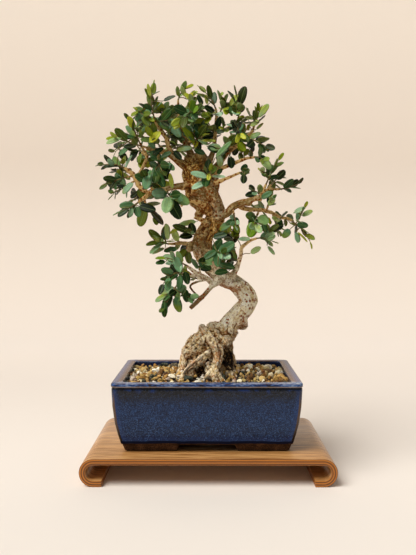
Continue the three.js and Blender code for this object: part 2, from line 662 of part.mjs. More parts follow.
// ---- Trunk, roots and branches: one piece of wood ----
// The flared foot with its roots, grown by `grow` all round to cut the soil.
function footSolid(grow = 0) {
  const sides = 12;
  const rings = footRings.map(([z, x, hx, hy], i) =>
    Array.from({ length: sides }, (_, k) => {
      const angle = (2 * Math.PI * k) / sides;
      const flute = 1 + fluting(footFlutes, angle, i);
      const drop = i === 0 ? grow : 0;
      return new THREE.Vector3(
        x + (hx * flute + grow) * Math.cos(angle),
        pot.y + (hy * flute + grow) * Math.sin(angle),
        z - drop,
      );
    }),
  );
  return joined([solid(loft(rings)), ...roots.map((route) => limb(route, { sides: 6, grow }))]);
}

function ball([x, y, z], [a, b, c], detail) {
  const geometry = new THREE.IcosahedronGeometry(1, detail);
  geometry.scale(a, b, c);
  geometry.translate(x, y, z);
  return solid(geometry);
}

// The routes of all branches, and of the woody spurs up to the cuts where the green shoots begin.
// A limb that ends where a spray starts runs on as that spray's spur.
function isEnd(route, [x, y, z]) {
  const [ex, ey, ez] = route.at(-1);
  return ex === x && ey === y && ez === z;
}

function woodRoutes() {
  const starts = Object.values(sprays).map((spray) => spray[0].route);
  const carried = limbs.map((route) => {
    const next = starts.find(([from]) => isEnd(route, from));
    return next ? [...route, [...next[1], cutRadius]] : route;
  });
  const spurs = starts
    .filter(([from]) => !limbs.some((route) => isEnd(route, from)))
    .map(([from, cut]) => [[...from, 1], [...cut, cutRadius]]);
  return [...carried, ...spurs];
}

// A stout limb has five sides, a thin one four and a spur three.
function limbSides(route) {
  if (route.length === 2) return 3;
  return route[0][3] > stoutRadius ? 5 : 4;
}

function trunkSolid() {
  return joined([
    footSolid(),
    limb(trunkRoute, { sides: 10, flat: trunkFlatness, flutes: trunkFlutes }),
    ...knobs.map(([x, y, z, r]) => ball([x, y, z], [r, r, r], 0)),
    ...woodRoutes().map((route) => limb(route, { sides: limbSides(route) })),
  ]).subtract(ball(hollow.at, hollow.half, 1));
}

// ---- Shoots and leaves ----
// A green shoot sets off in the direction of its first stretch and bends to its tip.
function shootCurve(shoot, first) {
  const [from, second, tip] = shoot.route.map(vec);
  const along = second.clone().sub(from).normalize();
  const start = first ? second.clone().addScaledVector(along, clearance) : from;
  const reach = tip.distanceTo(start);
  return new THREE.QuadraticBezierCurve3(start, start.clone().addScaledVector(along, 0.4 * reach), tip);
}

// The frame of a shoot at a share of its length: its heading, and two directions across it that turn
// no more than they must, because they are worked out from the axis that the shoot keeps clear of.
function shootFrame(curve, t) {
  const ends = [curve.getTangent(0), curve.getTangent(1)];
  const lean = (axis) => Math.max(...ends.map((end) => Math.abs(end.dot(axis))));
  const axes = [vec([1, 0, 0]), vec([0, 1, 0]), vec([0, 0, 1])];
  const clearOf = axes.reduce((best, axis) => (lean(axis) < lean(best) ? axis : best));
  const along = curve.getTangent(t);
  const side = new THREE.Vector3().crossVectors(clearOf, along).normalize();
  return { along, side, other: new THREE.Vector3().crossVectors(along, side) };
}

// The middle line of a shoot's two straight stretches, where its leaves are rooted.
function shootPoint(curve, t) {
  const start = t > 0.5 ? 0.5 : 0;
  return curve.getPoint(start).lerp(curve.getPoint(start + 0.5), (t - start) / 0.5);
}

// A square tube, with its flats turned to where the leaves stand.
function shootSolid(shoot, first) {
  const curve = shootCurve(shoot, first);
  const thick = first ? cutRadius : sideShootRadius;
  const rings = [0, 0.5, 1].map((t) => {
    const { side, other } = shootFrame(curve, t);
    const radius = thick + (shootTipRadius - thick) * t;
    return [45, 135, 225, 315].map((corner) => {
      const angle = radians(shoot.turn + corner);
      return curve
        .getPoint(t)
        .addScaledVector(side, radius * Math.cos(angle))
        .addScaledVector(other, radius * Math.sin(angle));
    });
  });
  return solid(loft(rings));
}

// Half the blade's width at a share of its length.
function bladeWidth(s) {
  return Math.sin(Math.PI * s ** 0.92) ** 0.7;
}

// A point of a leaf's blade: s runs from base to tip, v from edge to edge, -1 to 1.
function bladePoint(leaf, s, v, lift = 0) {
  const half = leaf.half * bladeWidth(s);
  const rise = leafRule.fold * Math.abs(v) * half - leaf.bend * leaf.length * s * s + lift;
  return leaf.base
    .clone()
    .addScaledVector(leaf.along, leaf.length * s)
    .addScaledVector(leaf.across, v * half)
    .addScaledVector(leaf.up, rise);
}

// A thin closed blade with a flat face above and a keel below along its midrib.
function leafSolid(leaf) {
  const stations = leaf.length < leafRule.small ? [0.3, 0.7] : [0.28, 0.56, 0.84];
  const rings = stations.map((s) => [
    bladePoint(leaf, s, -1),
    bladePoint(leaf, s, 0, -leafThickness),
    bladePoint(leaf, s, 1),
  ]);
  return solid(loft([[leaf.base], ...rings, [bladePoint(leaf, 0.999, 0)]]));
}

// Points that a leaf must keep away from: each has a radius and the spray that it belongs to.
function addToCloud(cloud, p, radius, spray, blade) {
  cloud.push({ x: p.x, y: p.y, z: p.z, radius, spray, blade });
}

function addRoute(cloud, points, spray) {
  for (let i = 0; i + 1 < points.length; i++) {
    const [a, b] = [points[i], points[i + 1]];
    const steps = Math.ceil(vec(a).distanceTo(vec(b)) / 2);
    for (let k = 0; k <= steps; k++) {
      const at = a.map((value, n) => value + ((b[n] - value) * k) / steps);
      addToCloud(cloud, vec(at), at[3], spray, false);
    }
  }
}

function woodCloud() {
  const cloud = [];
  [trunkRoute, ...roots, ...woodRoutes()].forEach((route) => addRoute(cloud, route, ""));
  knobs.forEach(([x, y, z, r]) => addToCloud(cloud, vec([x, y, z]), r, "", false));
  for (const [name, spray] of Object.entries(sprays)) {
    spray.forEach((shoot, n) => {
      const curve = shootCurve(shoot, n === 0);
      for (let t = 0; t <= 1; t += 0.1) addToCloud(cloud, curve.getPoint(t), cutRadius, name, false);
    });
  }
  return cloud;
}

function isClear(leaf, cloud, spray) {
  const { gap, gapInSpray, ownBase, woodBase, reachX, reachY, top } = leafRule;
  const tip = bladePoint(leaf, 1, 0);
  if (Math.abs(tip.x) > reachX || Math.abs(tip.y) > reachY || tip.z > top) return false;
  return cloud.every((c) => {
    const own = c.spray === spray;
    if (own && !c.blade) return true;
    const [dx, dy, dz] = [c.x - leaf.base.x, c.y - leaf.base.y, c.z - leaf.base.z];
    const x = dx * leaf.along.x + dy * leaf.along.y + dz * leaf.along.z;
    const margin = own ? gapInSpray : gap + c.radius;
    if (x < (own ? ownBase * leaf.length : woodBase) || x > leaf.length + margin) return true;
    const s = Math.min(1, x / leaf.length);
    const y = dx * leaf.across.x + dy * leaf.across.y + dz * leaf.across.z;
    if (Math.abs(y) > leaf.half * bladeWidth(s) + margin) return true;
    const z = dx * leaf.up.x + dy * leaf.up.y + dz * leaf.up.z;
    return Math.abs(z + leaf.bend * leaf.length * s * s) > margin;
  });
}

// One leaf at a place on its shoot; `turn` goes round the shoot, and `open` away from its heading.
function leafOn(base, { along, side, other }, turn, open, twist, length, width, bend) {
  const out = side.clone().multiplyScalar(Math.cos(turn)).addScaledVector(other, Math.sin(turn));
  const heading = along.clone().multiplyScalar(Math.cos(open)).addScaledVector(out, Math.sin(open));
  const up = along.clone().multiplyScalar(Math.sin(open)).addScaledVector(out, -Math.cos(open));
  const across = new THREE.Vector3().crossVectors(up, heading);
  const turned = up.clone().multiplyScalar(Math.cos(twist)).addScaledVector(across, Math.sin(twist));
  return {
    base: base.clone().addScaledVector(out, leafRule.seat),
    along: heading,
    up: turned,
    across: new THREE.Vector3().crossVectors(turned, heading),
    length,
    half: (length * width) / 2,
    bend,
  };
}

// One try at a leaf: after the first, each swings it further aside and makes it shorter.
function leafTry(shoot, place, scatter, k) {
  const { swing, scatter: most } = leafRule;
  const aside = (k % 2 ? 1 : -1) * Math.ceil(k / 2);
  return leafOn(
    place.base,
    place.frame,
    radians(place.turn + most.turn * scatter[0] + swing.turn * aside),
    radians(place.open + most.open * scatter[1] + swing.open * ((k % 3) - 1)),
    radians(most.twist * scatter[2]),
    shoot.leaf * place.youth * (1 + most.length * scatter[3]) * (1 - swing.shrink * k),
    shoot.width,
    most.bend * scatter[4],
  );
}

// Where a shoot's leaf number i stands: opposite pairs, each a quarter turn from the last.
function leafPlace(shoot, curve, i) {
  const { firstPair, lastPair, open, openAtTip, quarterTurn, young, youth } = leafRule;
  const pair = Math.floor(i / 2);
  const t = firstPair + ((lastPair - firstPair) * pair) / (shoot.pairs - 1);
  return {
    base: shootPoint(curve, t),
    frame: shootFrame(curve, t),
    turn: shoot.turn + quarterTurn * pair + 180 * (i % 2),
    open: open + (openAtTip - open) * t,
    youth: 1 - (youth * Math.max(0, t - young)) / (1 - young),
  };
}

// The leaves of every spray. A leaf that would touch something swings aside, or is left out.
function growLeaves() {
  const draw = seeded(leafRule.seed);
  const cloud = woodCloud();
  const grown = {};
  for (const [name, spray] of Object.entries(sprays)) {
    grown[name] = [];
    spray.forEach((shoot, n) => {
      const curve = shootCurve(shoot, n === 0);
      for (let i = 0; i < 2 * shoot.pairs; i++) {
        const place = leafPlace(shoot, curve, i);
        const scatter = Array.from({ length: 5 }, () => 2 * draw() - 1);
        for (let k = 0; k < leafRule.tries; k++) {
          const leaf = leafTry(shoot, place, scatter, k);
          if (!isClear(leaf, cloud, name)) continue;
          grown[name].push(leaf);
          for (const s of [0.12, 0.25, 0.4, 0.55, 0.7, 0.85, 1]) {
            for (const v of [-1, 0, 1]) addToCloud(cloud, bladePoint(leaf, s, v), 0, name, true);
          }
          break;
        }
      }
    });
  }
  return grown;
}

function spraySolid(spray, leaves) {
  const stems = spray.map((shoot, n) => shootSolid(shoot, n === 0));
  return joined([...stems, ...leaves.map(leafSolid)]);
}

// ---- The whole ----
const bonsai = new THREE.Group();
bonsai.name = "olive_bonsai";
bonsai.add(named("stand", standSolid(), materials.ply));
bonsai.add(named("pot", potSolid(), materials.glaze));
bonsai.add(named("drain_mesh_left", drainMeshSolid(-1), materials.mesh));
bonsai.add(named("drain_mesh_right", drainMeshSolid(1), materials.mesh));
bonsai.add(named("soil", soilSolid(), materials.soil));
bonsai.add(named("trunk", trunkSolid(), materials.bark));
const leaves = growLeaves();
for (const [name, spray] of Object.entries(sprays)) {
  bonsai.add(named(`spray_${name}`, spraySolid(spray, leaves[name]), materials.leaf));
}

export default bonsai;
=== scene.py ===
# An olive bonsai in a glazed pot, on a low stand of bent plywood.
import inspect
import json
import math

import bmesh
import bpy
import numpy as np
from mathutils import Matrix, Vector, kdtree, noise

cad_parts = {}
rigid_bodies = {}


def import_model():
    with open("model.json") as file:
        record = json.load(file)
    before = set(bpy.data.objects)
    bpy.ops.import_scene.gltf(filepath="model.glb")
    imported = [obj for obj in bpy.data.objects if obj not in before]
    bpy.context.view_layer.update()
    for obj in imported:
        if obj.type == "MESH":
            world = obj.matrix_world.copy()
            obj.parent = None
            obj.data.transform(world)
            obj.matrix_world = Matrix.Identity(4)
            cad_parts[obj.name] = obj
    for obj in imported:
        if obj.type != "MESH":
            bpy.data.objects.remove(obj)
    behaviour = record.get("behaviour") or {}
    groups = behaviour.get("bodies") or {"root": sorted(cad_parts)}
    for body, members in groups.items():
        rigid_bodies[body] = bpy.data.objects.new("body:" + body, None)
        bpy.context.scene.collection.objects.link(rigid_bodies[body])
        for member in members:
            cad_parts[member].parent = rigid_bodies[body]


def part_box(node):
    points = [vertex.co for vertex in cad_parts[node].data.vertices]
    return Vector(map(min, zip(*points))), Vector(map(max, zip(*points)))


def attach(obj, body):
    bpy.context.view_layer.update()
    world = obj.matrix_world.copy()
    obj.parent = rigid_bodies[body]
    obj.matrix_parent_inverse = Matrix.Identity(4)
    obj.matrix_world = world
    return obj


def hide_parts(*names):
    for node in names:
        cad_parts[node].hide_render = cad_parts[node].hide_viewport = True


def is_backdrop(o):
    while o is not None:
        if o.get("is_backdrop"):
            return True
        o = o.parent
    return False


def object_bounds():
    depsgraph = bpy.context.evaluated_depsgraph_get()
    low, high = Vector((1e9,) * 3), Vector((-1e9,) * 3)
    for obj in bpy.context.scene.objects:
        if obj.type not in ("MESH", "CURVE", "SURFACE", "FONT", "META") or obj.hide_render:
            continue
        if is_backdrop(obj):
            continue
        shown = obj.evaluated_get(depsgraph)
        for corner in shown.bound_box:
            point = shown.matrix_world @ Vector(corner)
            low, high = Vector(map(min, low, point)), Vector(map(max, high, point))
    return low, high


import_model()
cad_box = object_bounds()
scene = bpy.context.scene
# Without a seed of its own the noise in the wood changes from run to run.
noise.seed_set(4)

# Places and sizes below are in millimetres, +Z up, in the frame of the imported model.
MM = 0.001


def box_of(node):
    return [np.array(corner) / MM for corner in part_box(node)]


STAND_LOW, STAND_HIGH = box_of("stand")
POT_LOW, POT_HIGH = box_of("pot")
POT_MIDDLE = (POT_LOW[:2] + POT_HIGH[:2]) / 2
POT_HALF = (POT_HIGH[:2] - POT_LOW[:2]) / 2
POT_X, POT_Y = POT_MIDDLE
POT_BASE = POT_LOW[2]
SOIL_BASE = box_of("soil")[0][2]

# The board of the stand: its thickness, and how far from the middle its rolled ends stop.
PLY = 6.5
LIP = 109.0

# The pot: the outside from the foot to the rim as (inset, height), then the inside back down.
POT_OUTSIDE = [
    (14.8, 0), (14, 0.5), (13, 1.2), (11.8, 4.6), (10.6, 8), (9.6, 8.4), (9.2, 9.4), (8.9, 10.4),
    (6.2, 20.7), (3.8, 32), (1.8, 49.6), (0.5, 66), (0.6, 68.2), (1.1, 69.1), (0.8, 69.7), (0.15, 70.2),
    (0, 70.8), (0, 72.8), (0.25, 73.4), (0.8, 73.9), (1.7, 74),
]
POT_INSIDE = [
    (10.2, 74), (10.8, 73.7), (11, 73.1), (11, 72), (14.6, 44), (17, 16.5), (18, 13.8), (20, 12.5),
]
RIM = 11.0
POT_FLOOR = 12.5
FOOT_HEIGHT = 7.5
FOOT_RECESS = [(26.4, 0), (27, 0.6), (27, FOOT_HEIGHT)]
# Half the width of the arch in the foot, at its bottom and its top.
ARCH_HALF, ARCH_TOP_HALF = 33.5, 27.5
DRAIN_RADIUS, DRAIN_SPREAD = 9.0, 45.0
# Radii of the pot's upright corners, and the height at which the lip takes over from the wall.
CORNER, LIP_CORNER, INSIDE_CORNER, FOOT_CORNER = 2.6, 7.0, 6.0, 6.0
LIP_HEIGHT = 66.0

# The soil: its height at the walls, the mound to the trunk, and how far in from the pot's outside it keeps.
SOIL_EDGE = 97.5
MOUND, MOUND_X, MOUND_Y = 9.5, 58.0, 40.0
BED_INSET, FLOOR_INSET = RIM + 1.6, 20.6
# The surface that the small stones lie on is a little lower than the soil's top.
BED_DEPTH = 2.2
# The layers of small stones: name, spacing, least and most size, how deep they sink, seed.
GRAVEL_LAYERS = [("upper", 5.8, 1.9, 4.1, -1.6, 4), ("lower", 5.0, 1.7, 3.0, 1.3, 9)]
# Stones that stand out in the gravel: x, y, radius, tone (0 is green-black, 0.9 is cream).
LARGE_STONES = [
    (-22, -33, 5.2, 0.03), (0, -38, 4.6, 0.06), (-54, 54, 6, 0), (-41, 48, 5.4, 0.06), (-61, 14, 4.6, 0.92),
    (-40, -22, 4.6, 0.88), (48, 14, 4.4, 0.9), (80, -16, 4.8, 0.36), (-73, -20, 4.8, 0.3),
    (-12, -46, 4, 0.9), (34, -42, 4.2, 0.84), (58, -30, 4.4, 0.5), (-52, -38, 4.4, 0.66), (70, 36, 5, 0.9),
    (-76, 34, 4.8, 0.5),
]

# ---- The wood: routes of (x, y, z, radius) ----
# The flared foot: height, middle x, half width, half depth.
FOOT_RINGS = [
    (86, -1, 32, 25), (104, -1, 32, 25), (118, 0, 30.5, 23), (126, -2, 29, 22), (134, 2, 26, 21),
    (141, 5, 25.5, 20), (148, 8, 22.5, 17), (155, 15, 17, 13), (160, 20, 10, 8),
]
FOOT_LINE = [(-1, 6, 84, 30), (-1, 6, 118, 29), (3, 6, 134, 25), (12, 6, 150, 16)]
TRUNK = [
    (13, 6, 141, 13), (20, 6, 150, 13.5), (27.5, 6, 160, 11.5), (36, 5, 169, 11), (43.5, 5, 180, 10.6),
    (43, 6, 189, 10.8), (36.5, 7, 198, 10.2), (28.5, 7, 204, 9.8), (19, 6, 207, 9.6), (11.5, 5, 213.5, 9.4),
    (5, 4, 223, 10.6), (-3, 4, 234, 10.2), (-8, 4, 246, 11.6), (-4, 5, 258, 10.2), (3, 6, 269, 9.3),
    (7, 6, 279, 10.2), (5, 6, 288, 12.2), (-2, 6, 297, 15.8), (-6, 6, 306, 19), (-8, 7, 316, 19.6),
    (-12, 8, 325, 18.6), (-18, 9, 333, 14.5), (-21, 9, 338, 8),
]
ROOTS = [
    [(-12, -8, 112, 9), (-22, -20, 105, 6.5), (-29, -31, 98, 4.5), (-33, -39, 90, 3)],
    [(2, -9, 114, 9), (4, -20, 106, 7), (9, -31, 99, 5), (12, -39, 90, 3.5)],
    [(14, -2, 114, 8), (23, -10, 106, 6), (30, -18, 98, 4.5), (34, -26, 90, 3)],
    [(-14, 5, 114, 10), (-25, 2, 106, 7), (-33, -2, 98, 5), (-38, -6, 90, 3)],
    [(16, 10, 114, 8), (25, 18, 105, 6), (31, 26, 97, 4.5), (34, 32, 90, 3)],
    [(-12, 18, 112, 9), (-22, 30, 104, 6.5), (-30, 40, 96, 4.5), (-34, 46, 90, 3)],
    [(6, 20, 112, 9), (8, 33, 104, 6.5), (12, 44, 96, 4.5), (15, 50, 90, 3)],
]
# Strands of old wood: ten run down over the flared foot, two up the trunk.
STRANDS = [
    [(-4, -9, 153, 4.2), (1, -14, 145, 5), (7, -17, 137, 5.6), (10.5, -19, 129, 5.6), (10, -21, 119, 5.2),
     (7, -24, 109, 4.8), (5, -28, 98, 4)],
    [(2, -18, 130, 2.6), (-8, -22, 124, 2.5), (-17, -25, 117, 2.3), (-25, -28, 110, 2.1),
     (-30, -30, 100, 1.9)],
    [(6, -22, 112, 3), (0, -28, 106, 2.8), (-5, -33, 98, 2.4)],
    [(9, -24, 108, 2.8), (14, -31, 101, 2.5), (19, -37, 95, 2.2)],
    [(-17, -12, 117, 4), (-21, -17, 109, 3.6), (-27, -23, 99, 3)],
    [(25, 2, 134, 3.2), (25, 0, 122, 3.4), (26, -3, 110, 3.4), (31, -6, 99, 3)],
    [(20, 18, 142, 4.5), (22, 20, 124, 4.5), (27, 24, 106, 4)],
    [(8, 24, 140, 5), (10, 27, 124, 5), (15, 33, 105, 4)],
    [(-10, 22, 136, 5), (-14, 27, 120, 5), (-20, 34, 103, 4)],
    [(-20, 6, 136, 6), (-27, 7, 122, 5), (-31, 8, 106, 4)],
    [(2, -4, 228, 3.4), (-5, -5, 240, 4), (-8, -5, 252, 3.6), (-2, -3, 264, 3)],
    [(10, -1, 276, 3), (10, -4, 288, 4), (6, -8, 300, 5), (-2, -10, 312, 5), (-10, -7, 326, 4)],
]
# Swellings: x, y, z, radius.
LUMPS = [
    (7, 4, 148, 12.5), (-13, -5, 134, 13), (-7, -4, 154, 4.6), (-21, -4, 127, 9), (-5, -8, 142, 9),
    (39, 3, 158, 6.6), (33, 5, 159, 9), (17, -8, 139, 9), (22, 0, 150, 9), (-19, 1, 246, 5.5),
    (-21, 0, 243, 4.5), (44, -11, 294, 4.6), (-14, -4, 309, 8), (3, -5, 303, 8), (-4, -7, 318, 9),
    (5, 2, 313, 8), (-20, 0, 327, 7), (-20, 14, 318, 8), (-2, 18, 306, 8), (16, 2, 205, 5),
    (33, -3, 202, 4.5), (0, 16, 142, 12), (-20, 8, 343, 7), (-9, 8, 345, 8), (-11, 3, 281, 5),
]
# Old wounds: x, y, z, radius, depth.
WOUNDS = [
    (-7, -5, 265, 3, 3.6), (-6, -5, 259, 2, 2.4), (1, -5, 279, 2.6, 1.8), (11, -7, 301, 2.6, 1.8),
    (-23, -7, 308, 4, 3.6), (-12, -13, 300, 2.8, 1.6), (45, -6, 193, 3, 2.6), (30, -4, 181, 1.8, 0.8),
    (-14, -18, 132, 2.2, 1.2), (14, -14, 150, 2, 1), (-3, 20, 300, 4, 2.6), (-14, 26, 312, 4, 2.6),
    (8, 16, 232, 3.4, 2.2), (52, 8, 184, 3, 2),
]
# Caves, pressed in from the front: middle, half sizes.
CAVES = [((22, -22, 117), (7, 16, 13)), ((-11, -24, 111), (10, 18, 9)), ((20, -20, 131), (4, 9, 5))]
# Hollows in the foot, painted dark as shade, with fine pale rootlets: middle, half sizes.
DARK = [((22, -10, 118), (9, 14, 17)), ((-12, -8, 109), (15, 15, 10)), ((4, -22, 100), (24, 11, 7))]
# Pale patches on the flanks of the upper trunk: bare pale wood, on the lit side partly a painted highlight:
# x, y, z, reach.
PALE = [
    (-16, -6, 254, 9), (-18, -5, 244, 10), (-12, -8, 234, 9), (-4, -9, 224, 9), (15, -6, 305, 8),
    (13, -8, 292, 9), (12, -8, 281, 7), (-6, -12, 262, 6),
]
# Wood painted a darker, dull brown: x, y, z, reach.
WEATHERED = [
    (-2, -14, 194, 6), (-9, -16, 187, 7), (-16, -17, 180, 7), (-21, -18, 176, 5), (-20, -21, 202, 5),
    (-14, -20, 206, 5), (-16, -22, 195, 5), (-10, -22, 190, 4),
]
# Where bare wood shows rust brown: x, y, z, reach.
RUST = [
    (-7, -9, 289, 8), (-20, -8, 310, 7), (40, -3, 154, 8), (-14, -8, 214, 8), (-20, -25, 112, 9),
    (30, 0, 192, 5), (11, -24, 127, 4), (-6, -8, 262, 7), (12, -6, 300, 6), (36, -8, 232, 5),
    (-3, -14, 316, 5), (10, 2, 200, 8), (24, 2, 197, 7), (36, 2, 186, 4), (-8, -10, 156, 5),
    (-28, -6, 122, 7), (18, -12, 128, 10),
]
# Branches, each from inside the wood that carries it. Where they are stout they are shaped with the trunk.
LIMBS = [
    [(-19, 5, 331, 7), (-32, 0, 339, 4.6), (-47, -6, 349, 3.4), (-68, -12, 353, 2.3)],
    [(-38, -2, 343, 2.4), (-44, -4, 355, 2.8), (-47, -5, 365, 2.5), (-56, -7, 378, 2.2),
     (-58, -8, 382, 1.7)],
    [(-13, 8, 334, 5.5), (-22, 10, 354, 4), (-30, 9, 376, 3), (-33, 6, 393, 2), (-34, 5, 404, 1.5)],
    [(-3, 8, 330, 5), (5, 8, 352, 2.8), (7, 8, 365, 2.4), (8, 6, 381, 2), (9, 4, 393, 1.5)],
    [(7, 7, 373, 1.3), (22, 10, 379, 1.6), (32, 12, 386, 1.4)],
    [(-1, 12, 325, 5), (14, 14, 342, 3.4), (22, 14, 352, 3), (31, 12, 359, 2.7), (41, 8, 367, 2.2),
     (49, 4, 374, 1.6)],
    [(-1, 2, 322, 4.5), (15, -6, 332, 2.5), (24, -10, 335, 2.2), (35, -14, 339, 1.9), (42, -17, 341, 1.6)],
    [(2, -3, 315, 4), (13, -12, 317, 2.2), (21, -16, 320, 1.7), (29, -19, 323, 1.5)],
    [(4, 4, 276, 7), (15, -2, 280, 5), (22, -5, 283, 4.6), (27, -7, 289, 4.4), (36, -9, 293, 4.2),
     (44, -12, 295, 3.6), (51, -14, 298, 3.3), (58, -16, 298, 3.3)],
    [(52, -14, 297, 1.6), (59, -17, 303, 1.6), (61, -17, 308, 1.5)],
    [(59, -17, 303, 1), (66, -16, 308, 1.4), (72, -14, 308, 1.3)],
    [(32, -8, 291, 2.4), (38, -5, 288, 2.7), (49, -2, 286, 2.4), (60, 2, 286, 2.2), (72, 5, 283, 2),
     (81, 6, 278, 1.8), (89, 6, 277, 1.5)],
    [(23, 4, 206, 6), (31, -2, 219, 3), (34, -5, 228, 2.5), (36, -7, 236, 2.2), (37, -9, 244, 2),
     (43, -10, 249, 1.8), (47, -11, 252, 1.6)],
    [(31, -3, 220, 1.2), (33, 2, 228, 1.4), (31, 4, 232, 1.3)],
    [(15, 1, 208, 5), (5, -6, 204, 3.4), (-1, -9, 209, 3.1), (-7, -11, 212, 2.8), (-15, -13, 217, 2.3)],
    [(-6, -11, 212, 1.6), (-16, -13, 213, 1.8), (-23, -12, 213, 1.7), (-29, -12, 210, 1.5)],
    [(13, -1, 207, 4.5), (3, -11, 200, 2.9), (-6, -15, 190, 2.6), (-20, -18, 177, 2.4)],
    [(-1, -9, 208, 1), (-13, -18, 206, 1.2), (-20, -21, 202, 1.1), (-17, -22, 196, 1.1), (-9, -22, 189, 1)],
    [(-6, 6, 246, 5), (-21, 7, 248, 2.6), (-31, 5, 249, 2), (-39, 1, 248, 1.6)],
    [(-12, 3, 313, 9), (-27, -6, 312, 4.4), (-37, -10, 311, 3.5), (-50, -13, 307, 3.1),
     (-62, -15, 305, 2.9), (-67, -16, 301, 2.8), (-72, -17, 297, 2.2)],
    [(-65, -16, 303, 2), (-75, -17, 310, 2.9), (-80, -17, 320, 2.9), (-86, -16, 327, 2.3)],
    [(-79, -17, 318, 1.6), (-71, -14, 334, 2), (-68, -12, 343, 1.8), (-71, -10, 350, 1.5)],
    [(-5, -1, 292, 5), (-14, -11, 294, 2.2), (-24, -14, 295, 1.5), (-30, -16, 289, 1.2)],
    [(-1, -1, 270, 4), (-3, -8, 272, 3.2), (-9, -11, 275, 2.3), (-16, -13, 277, 1.1)],
]
STOUT = 2.6
CUT_RADIUS = 1.3

